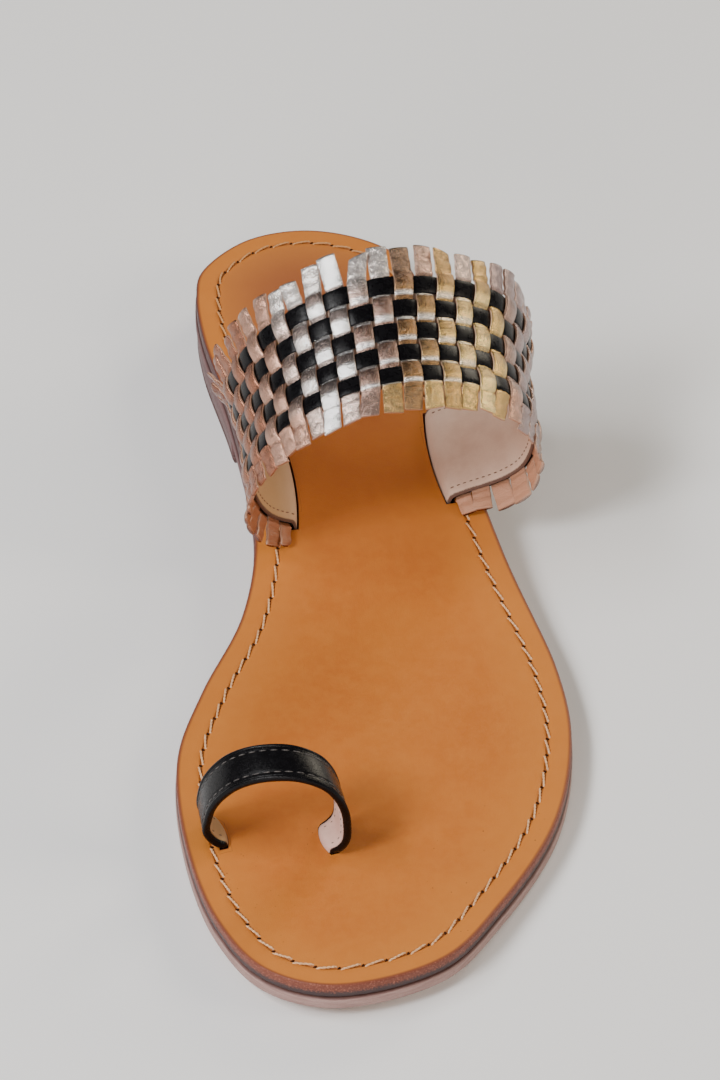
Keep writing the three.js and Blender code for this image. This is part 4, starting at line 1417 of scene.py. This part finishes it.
@dataclass
class ToeLoop:
    """Loop for the big toe: padded black leather with rolled edges and a nude lining.

    Sizes are in millimetres, and levels are heights above the lining face. An arch is its bulge
    to the medial and the lateral side and its height. A stitch is half its length and its
    thread's radius.
    """

    shape: SoleShape
    width: float = 9.8
    thickness: float = 1.9
    front_share: float = 0.1755
    span: float = 22.4
    skew: float = 3.6
    front_inset: float = 9.0
    rear_inset: float = 7.6
    lean: float = 0.1
    front_arch: Triple = (3.7, 2.4, 24.0)
    rear_arch: Triple = (2.2, 3.2, 25.8)
    roll: float = 1.25
    roll_level: float = 0.98
    roll_half: float = 0.92
    leather_margin: float = 0.9
    leather_level: float = 1.62
    padding: float = 0.2
    seam: float = 1.85
    seam_dip: float = 0.12
    seam_width: float = 0.35
    stitch_pitch: float = 2.3
    stitch_level: float = 1.64
    lining_seam: float = 2.25
    outer_stitch: Pair = (0.75, 0.16)
    inner_stitch: Pair = (0.35, 0.1)
    foot_height: float = 5.5
    foot_bow: float = 0.9
    foot_tuck: float = 0.6
    slot_clearance: float = 0.06
    leg_medial: tuple[Pair, ...] = ((0, 0), (0.08, 0.05), (0.58, 0.11))
    leg_lateral: tuple[Pair, ...] = ((0.94, 0.22), (0.5, 0.11), (0.08, 0.05), (0, 0))
    arch: tuple[Pair, ...] = (
        (-1, 0.22), (-0.972, 0.4), (-0.9, 0.56), (-0.754, 0.715), (-0.55, 0.85), (-0.26, 0.95),
        (0.04, 0.996), (0.3, 1), (0.556, 0.955), (0.74, 0.88), (0.88, 0.755), (0.97, 0.592),
        (1, 0.417))

    def __post_init__(self) -> None:
        """Sets up the loop's surface."""
        self.surface = StrapSurface(
            self.shape, Section(*self.seats(self.front_inset, 0.0), *self.front_arch),
            Section(*self.seats(self.rear_inset, self.width), *self.rear_arch),
            self.leg_medial, self.arch, self.leg_lateral, self.lean)

    def seats(self, inset: float, back: float) -> tuple[Pair, Pair]:
        """Returns the medial and the lateral seat of one edge, in plan."""
        y = float(self.shape.along(self.front_share)) + back
        x = float(self.shape.edges(np.array([y]))[0][0]) + inset
        return (x, y), (x + self.span, y - self.skew)

    def place(self, share: Array, along: Array, out: Array) -> Array:
        """Finds points of the loop, whose feet are bowed inwards and narrow into the slots.

        With n from 0 above the foot to 1 at the slot and u from -1 to 1 across the loop, a
        point moves n bow (1 - u^2) inwards and n tuck |u| towards the middle.

        Args:
            share: Shares of the length.
            along: Millimetres along the ruling from the front edge.
            out: Millimetres outwards from the lining face.

        Returns:
            The points.
        """
        share, along, out = np.broadcast_arrays(share, along, out)
        u = 2 * along / self.surface.width_at(share) - 1
        above = np.minimum(share, 1 - share) * self.surface.length(0.5)
        near = smooth_step(1 - above / self.foot_height)
        tuck = near**2 * self.foot_tuck * -u * np.where(u < 0, 1.0, 0.6)
        return self.surface.place(share, along + tuck, out - near * self.foot_bow * (1 - u**2))

    def slot(self, share: float) -> Array:
        """Returns the outline of the slot at one seat, 0 or 1, a little wider than the strap."""
        width = float(self.surface.width_at(np.array(share)))
        gap = self.slot_clearance
        along = np.linspace(-gap, width + gap, 11)
        low = self.place(np.full(11, share), along, np.full(11, -gap))
        high = self.place(np.full(11, share), along, np.full(11, self.thickness + gap))
        return np.vstack([low, high[::-1]])

    def carry(self, section: Array) -> Patch:
        """Carries a closed section along the whole loop.

        Args:
            section: Rows (along, out) round the section, clockwise seen from the medial end.

        Returns:
            The closed piece.
        """
        share = np.linspace(*self.surface.share[[0, -1]], 160)[:, None]
        stretch = self.surface.width_at(share) / self.width
        along, out = section.T[:, None]
        return tube(self.place(share, along * stretch, out), turn_over=True)

    def outer(self) -> Array:
        """Section of the outer leather: padded in the middle, dipping at the seams."""
        along = np.linspace(self.leather_margin, self.width - self.leather_margin, 25)
        seams = self.seam, self.width - self.seam
        dip = sum(np.exp(-((along - seam) / self.seam_width) ** 2) for seam in seams)
        out = self.leather_level + self.padding * np.sin(np.pi * along / self.width) - self.seam_dip * dip
        low = np.column_stack([along[[-1, 0]], [0.6, 0.6]])
        return np.vstack([np.column_stack([along, out]), low])[::-1]

    def rolled_edge(self, front: bool) -> Array:
        """Section of a rolled edge: an oval round the strap's edge."""
        turn = np.linspace(0, 2 * np.pi, 14, endpoint=False)
        half = self.roll / 2
        centre = half - 0.02 if front else self.width - half + 0.02
        out = self.roll_level + self.roll_half * np.sin(turn)
        return np.column_stack([centre + half * np.cos(turn), out])

    def lining(self) -> Array:
        """Section of the lining: a thin sheet between the rolled edges."""
        along = np.linspace(1.0, self.width - 1.0, 12)
        low, high = np.full(12, 0.02), np.full(12, 0.7)
        return np.column_stack([np.r_[along, along[::-1]], np.r_[low, high]])

    def stitches(self, margin: float, out: float, side: float) -> list[Patch]:
        """Builds both stitch rows on one face of the loop.

        Args:
            margin: Distance of each row from the strap's edge.
            out: Height of the face.
            side: 1 on the outer face and -1 on the lining face.

        Returns:
            One patch a stitch.
        """
        half, radius = self.outer_stitch if side > 0 else self.inner_stitch
        patches = []
        for edge in (0.0, 1.0):
            length = float(self.surface.length(edge))
            share = np.linspace(0.04, 0.96, int(length / self.stitch_pitch))
            width = self.surface.width_at(share)
            along = lerp(margin, width - margin, edge)
            patches += stitch_run(self.place, share, along, np.full(share.shape, out),
                                  half / length, radius, side)
        return patches

    def build(self) -> None:
        """Builds and dresses the loop."""
        leather = BlackLeather("loop_black_leather", rough=0.25, grain=3.0, relief=0.03, crease=0.5,
                               index=1.24).build()
        lining = LiningLeather("loop_lining_leather", turn=-28.0, base=srgb(226, 190, 176),
                               deep=srgb(196, 152, 136)).build()
        thread = Thread("loop_thread", srgb(104, 98, 94), srgb(48, 45, 45)).build()
        edges = [self.carry(self.rolled_edge(front)) for front in (True, False)]
        stitches = self.stitches(self.seam, self.stitch_level, 1.0)
        stitches += self.stitches(self.lining_seam, 0.0, -1.0)
        for name, patches, finish in (
                ("loop_leather", [self.carry(self.outer())], leather),
                ("loop_rolled_edges", edges, leather),
                ("loop_lining", [self.carry(self.lining())], lining),
                ("loop_stitches", stitches, thread)):
            dress(make_object(name, patches), finish, "toe_loop")


@dataclass
class Sole:
    """Footbed, outsole and heel, with the stitches round the footbed. Sizes are in millimetres."""

    shape: SoleShape
    bevel: float = 0.5
    groove_inset: float = 5.45
    groove_half: float = 0.45
    groove_depth: float = 0.28
    stitch_pitch: float = 5.15
    stitch_skew: float = 0.52
    thread_radius: float = 0.2
    stitch_share: float = 0.97
    stitch_rise: float = 0.1
    stitch_dip: float = 0.75
    twist: float = 8.0
    hole_half: Pair = (0.55, 0.3)
    hole_turn: float = 0.45
    hole_sink: float = 0.06
    hole_bulge: float = 0.14
    slot_reach: Pair = (-3.2, 3.0)
    sharp_angle: float = 60.0
    heel_taper: float = 0.5

    def groove(self) -> list[Triple]:
        """Profile rows of the groove, depth cos^2(pi t / 2) deep with t from -1 to 1 across it."""
        steps = np.linspace(-1, 1, 7)
        return [(self.groove_inset + self.groove_half * t, 1.0,
                 -self.groove_depth * math.cos(math.pi * t / 2) ** 2) for t in steps]

    def footbed(self) -> bpy.types.Object:
        """Builds the footbed with its rounded edge and stitch groove."""
        b = self.bevel
        turn = np.linspace(0, np.pi / 2, 5)
        top = [(b * (1 - math.cos(t)), 1.0, -b * (1 - math.sin(t))) for t in turn]
        profile = [(b, 0.0, 0.0), (0.15, 0.0, 0.15), (0.0, 0.0, b), (0.0, 0.5, 0.0), *top]
        profile += [(inset, 1.0, 0.0) for inset in (1.0, 2.0, 3.4)] + self.groove()
        profile += [(inset, 1.0, 0.0) for inset in (6.6, 8.0)]
        return SoleLayer("footbed_leather", self.shape, Plan.FULL, self.shape.footbed_bottom,
                         self.shape.footbed_top, profile).build()

    def plain_layer(self, name: str, plan: Plan, low: Height, high: Height, out: float = 0.0,
                    taper: float = 0.0) -> bpy.types.Object:
        """Builds an outsole or heel layer with rounded edges.

        Args:
            name: Name of the piece.
            plan: Which ring it follows.
            low: Height of its lower face over y.
            high: Height of its upper face over y.
            out: Millimetres that it stands out past the outline.
            taper: Millimetres that its lower edge steps in.

        Returns:
            The layer.
        """
        b, r = self.bevel, self.bevel * 0.3
        inner = 6.0 if plan is Plan.FULL else 1.6
        profile = [(inner, 0.0, 0.0), (b + taper - out, 0.0, 0.0), (r + taper - out, 0.0, r),
                   (taper - out, 0.0, b), (-out, 1.0, -b), (r - out, 1.0, -r), (b - out, 1.0, 0.0),
                   (inner, 1.0, 0.0)]
        stations = 150 if plan is Plan.FULL else 60
        return SoleLayer(name, self.shape, plan, low, high, profile, stations).build()

    def stitch_path(self) -> Array:
        """Returns the closed line on which the stitches lie, in plan."""
        layer = SoleLayer("path", self.shape, Plan.FULL, self.shape.footbed_bottom,
                          self.shape.footbed_top, [], 400)
        path = layer.inset(layer.ring(), self.groove_inset)
        return np.vstack([path, path[:1]])

    def stitches(self) -> tuple[list[Patch], list[Patch]]:
        """Builds the stitches and, between them, dark lenses that paint the shade inside the awl holes.

        A stitch is two plies twisted round a low arch, rise (1 - t^2) - dip |t|^10 high with t
        from -1 to 1, that dips into a hole at each end and lies a little askew to the groove.

        Returns:
            The plies and the painted hole shades.
        """
        path = self.stitch_path()
        length = arc_lengths(path)
        count = int(round(length[-1] / self.stitch_pitch))
        pitch = length[-1] / count
        t = np.linspace(-1, 1, 15)
        rnd = np.random.default_rng(11)
        plies, holes = [], []
        for k in range(count):
            run = pitch * (k + 0.5) + t * pitch * self.stitch_share / 2
            plan, ahead = (interpolate((run + step) % length[-1], length, path) for step in (0.0, 0.5))
            direction = unit(ahead - plan)
            side = np.column_stack([-direction[:, 1], direction[:, 0]])
            askew = (self.stitch_skew + rnd.normal(0, 0.06)) * t
            arch = self.stitch_rise * (1 - t**2) - self.stitch_dip * np.abs(t) ** 10
            height = self.shape.footbed_top(plan[:, 1]) + self.thread_radius / 2 + arch
            centre = np.column_stack([plan + side * askew[:, None], height])
            plies += [self.ply(centre, side, t, start) for start in (0.0, np.pi)]
            hole, next_to = interpolate(np.array([pitch * k, pitch * k + 0.5]) % length[-1], length, path)
            holes.append(self.hole(hole, unit(next_to - hole)))
        return plies, holes

    def ply(self, centre: Array, side: Array, t: Array, start: float) -> Patch:
        """Builds one ply, a thread of five sides wound round the stitch's middle line.

        Args:
            centre: Middle line of the stitch.
            side: Level direction across it at each point.
            t: -1 to 1 along the stitch.
            start: Angle at which the ply starts.

        Returns:
            The closed ply.
        """
        lateral, up = np.column_stack([side, np.zeros(len(t))]), np.array([0.0, 0.0, 1.0])
        phase = start + t * self.twist + 0.6
        offset = self.thread_radius * 0.5 * (np.cos(phase)[:, None] * lateral + np.sin(phase)[:, None] * up)
        radius = self.thread_radius * (1 - 0.35 * np.abs(t) ** 6)
        angle = np.arange(5)[None, :, None] * 2 * np.pi / 5
        ring = radius[:, None, None] * (np.cos(angle) * lateral[:, None] + np.sin(angle) * up)
        return tube((centre + offset)[:, None] + ring, turn_over=True)

    def hole(self, plan: Array, ahead: Array) -> Patch:
        """Builds the painted shade of one awl hole: a low dark lens that lies across the groove, a little
        turned.

        Args:
            plan: Its middle.
            ahead: Direction of the seam there.

        Returns:
            The closed lens.
        """
        angle = np.arange(12)[:, None] * 2 * np.pi / 12
        tilt = np.linspace(-np.pi / 2, np.pi / 2, 6)[1:-1]
        across = unit(np.array([-ahead[1], ahead[0]]) + self.hole_turn * ahead)
        oval = self.hole_half[0] * np.cos(angle) * across + self.hole_half[1] * np.sin(angle) * ahead
        z = self.shape.footbed_top(plan[1]) - self.hole_sink + self.hole_bulge * np.sin(tilt)
        points = plan + np.cos(tilt)[:, None, None] * oval
        return tube(np.dstack([points, np.repeat(z[:, None], 12, axis=1)]))

    def cut_slots(self, footbed: bpy.types.Object, band: InstepBand, loop: ToeLoop) -> None:
        """Cuts the four slots that the straps go down through, and keeps their edges crisp.

        Args:
            footbed: The footbed piece.
            band: The instep band.
            loop: The toe loop.
        """
        patches = []
        for outline in (strap.slot(share) for strap in (band, loop) for share in (0.0, 1.0)):
            ends = np.array([outline[:, 1].min(), outline[:, 1].max()])
            top = np.interp(outline[:, 1], ends, self.shape.footbed_top(ends))
            box = np.stack([np.column_stack([outline[:, :2], top + reach]) for reach in self.slot_reach])
            x, y = (outline[:, :2] - outline[:, :2].mean(0)).T
            clockwise = (x * np.roll(y, -1) - y * np.roll(x, -1)).sum() < 0
            count = box.shape[:2]
            patches.append(tube(box if clockwise else box[:, ::-1], rim=np.full(count, 12.0),
                                wall=np.zeros(count), level=np.full(count, 0.5)))
        cutter = make_object("slot_cutter", patches)
        cut = footbed.modifiers.new("slots", "BOOLEAN")
        cut.operation, cut.solver, cut.object = "DIFFERENCE", "EXACT", cutter
        graph = bpy.context.evaluated_depsgraph_get()
        done = bpy.data.meshes.new_from_object(footbed.evaluated_get(graph), depsgraph=graph)
        done.set_sharp_from_angle(angle=math.radians(self.sharp_angle))
        footbed.modifiers.clear()
        footbed.data = done
        bpy.data.objects.remove(cutter)

    def build(self, band: InstepBand, loop: ToeLoop) -> None:
        """Builds and dresses every layer of the sole.

        Args:
            band: The instep band, for its slots.
            loop: The toe loop, for its slots.
        """
        shape = self.shape
        footbed = self.footbed()
        self.cut_slots(footbed, band, loop)
        dress(footbed, TannedLeather(self.groove_inset).build(), "footbed")
        plies, holes = self.stitches()
        thread = Thread("footbed_thread", srgb(242, 204, 160), srgb(206, 152, 104),
                        srgb(196, 142, 88)).build()
        dress(make_object("footbed_stitches", plies), thread, "footbed")
        # Painted shade: dark lenses stand in for the shade inside the awl holes.
        hole_shade_finish = EdgeLeather("awl_hole_painted_shade", srgb(60, 30, 18), srgb(34, 18, 12), rough=0.85,
                           specular=0.05).build()
        dress(make_object("footbed_stitch_holes", holes), hole_shade_finish, "footbed")
        greige = EdgeLeather("greige_edge", srgb(170, 138, 130), srgb(138, 104, 98),
                             heel=srgb(106, 72, 70)).build()
        outsole = self.plain_layer("outsole_leather", Plan.FULL, shape.bottom, shape.outsole_top,
                                   out=shape.outsole_proud)
        dress(outsole, greige, "outsole")
        lifts = EdgeLeather("heel_lifts", srgb(112, 76, 74), srgb(72, 46, 46), 2.6, 0.5).build()
        block = self.plain_layer("heel_lifts", Plan.HEEL, even(shape.top_piece + shape.layer_gap),
                                 lambda y: shape.bottom(y) - shape.layer_gap)
        dress(block, lifts, "heel_block")
        wearing = EdgeLeather("heel_top_lift", srgb(92, 62, 60), srgb(58, 38, 38)).build()
        top_piece = self.plain_layer("heel_top_lift", Plan.HEEL, even(0.0), even(shape.top_piece),
                                     taper=self.heel_taper)
        dress(top_piece, wearing, "heel_top_piece")


@dataclass(frozen=True)
class Lamp:
    """A soft four-sided light: its place and its two sides in metres, and its power in watts."""

    name: str
    place: Triple
    size: Pair
    power: float
    colour: Colour = (1.0, 1.0, 1.0)

    def build(self, target: Vector) -> None:
        """Adds the light, turned to the target."""
        data = bpy.data.lights.new(self.name, "AREA")
        data.shape, data.energy, data.color = "RECTANGLE", self.power, self.colour
        data.size, data.size_y = self.size
        stand(bpy.data.objects.new(self.name, data), self.place, target)


def stand(thing: bpy.types.Object, place: Sequence[float], target: Vector) -> None:
    """Stands a light or a camera at a place, in metres, and turns it to the target."""
    thing.location = place
    thing.rotation_mode = "QUATERNION"
    thing.rotation_quaternion = (target - thing.location).to_track_quat("-Z", "Y")
    bpy.context.scene.collection.objects.link(thing)


@dataclass
class Studio:
    """Pale floor, soft lights and the camera at the photograph's angle.

    Places are in metres, and the floor's half and its drop are in millimetres. The camera looks
    at the middle of the CAD box in plan, at a share of its middle height and a small rise more.
    """

    eye: Triple = (-0.04908, -0.78166, 0.71961)
    lens: float = 152.0
    sensor: float = 36.0
    clip: Pair = (0.05, 20.0)
    height_share: float = 0.5
    rise: float = 0.004
    surroundings: float = 0.235
    floor_half: float = 4000.0
    floor_drop: float = 0.02
    lit: Triple = (0.0, 0.0, 0.02)
    lamps: tuple[Lamp, ...] = (
        Lamp("key", (-0.84, -0.64, 0.98), (0.34, 0.34), 11.5),
        Lamp("strip", (-0.8, -0.2, 1.1), (0.8, 0.2), 8.5),
        Lamp("front", (-0.4, -1.2, 0.5), (0.4, 0.4), 5.0, (1.0, 0.9, 0.86)),
        Lamp("fill", (1.25, -0.35, 0.7), (0.5, 0.5), 6.0, (1.0, 0.88, 0.72)),
        Lamp("back", (1.0, 1.05, 0.6), (0.6, 0.6), 10.0, (1.0, 0.9, 0.72)),
    )

    def floor(self) -> None:
        """Makes the plain floor: one flat sheet just under the sandal."""
        x = np.linspace(-self.floor_half, self.floor_half, 5)
        grid = np.dstack(np.meshgrid(x, x, indexing="ij") + [np.full((5, 5), -self.floor_drop)])
        piece = make_object("studio_floor", [Patch(grid, turn_over=True)])
        piece.data.materials.append(FloorFinish().build())

    def camera(self) -> None:
        """Makes the camera at the photograph's place, turned to the middle of the sandal."""
        data = bpy.data.cameras.new("camera")
        data.lens, data.sensor_width, data.sensor_fit = self.lens, self.sensor, "AUTO"
        data.clip_start, data.clip_end = self.clip
        target = (CAD_BOX[0] + CAD_BOX[1]) / 2
        target.z = target.z * self.height_share + self.rise
        camera = bpy.data.objects.new("camera", data)
        stand(camera, self.eye, target)
        bpy.context.scene.camera = camera

    def world(self) -> None:
        """Makes the even pale surroundings."""
        world = bpy.data.worlds.new("studio")
        world.use_nodes = True
        back = world.node_tree.nodes["Background"]
        back.inputs[0].default_value = (1.0, 1.0, 1.0, 1.0)
        back.inputs[1].default_value = self.surroundings
        bpy.context.scene.world = world

    def build(self) -> None:
        """Sets up the whole studio."""
        self.floor()
        self.world()
        for lamp in self.lamps:
            lamp.build(Vector(self.lit))
        self.camera()


def main() -> None:
    """Builds the studio and every sub-assembly in order."""
    logging.basicConfig(level=logging.INFO, format="%(name)s: %(message)s")
    Studio().build()
    shape = SoleShape()
    band, loop = InstepBand(shape), ToeLoop(shape)
    Sole(shape).build(band, loop)
    band.build()
    loop.build()


if __name__ == "__main__":
    main()
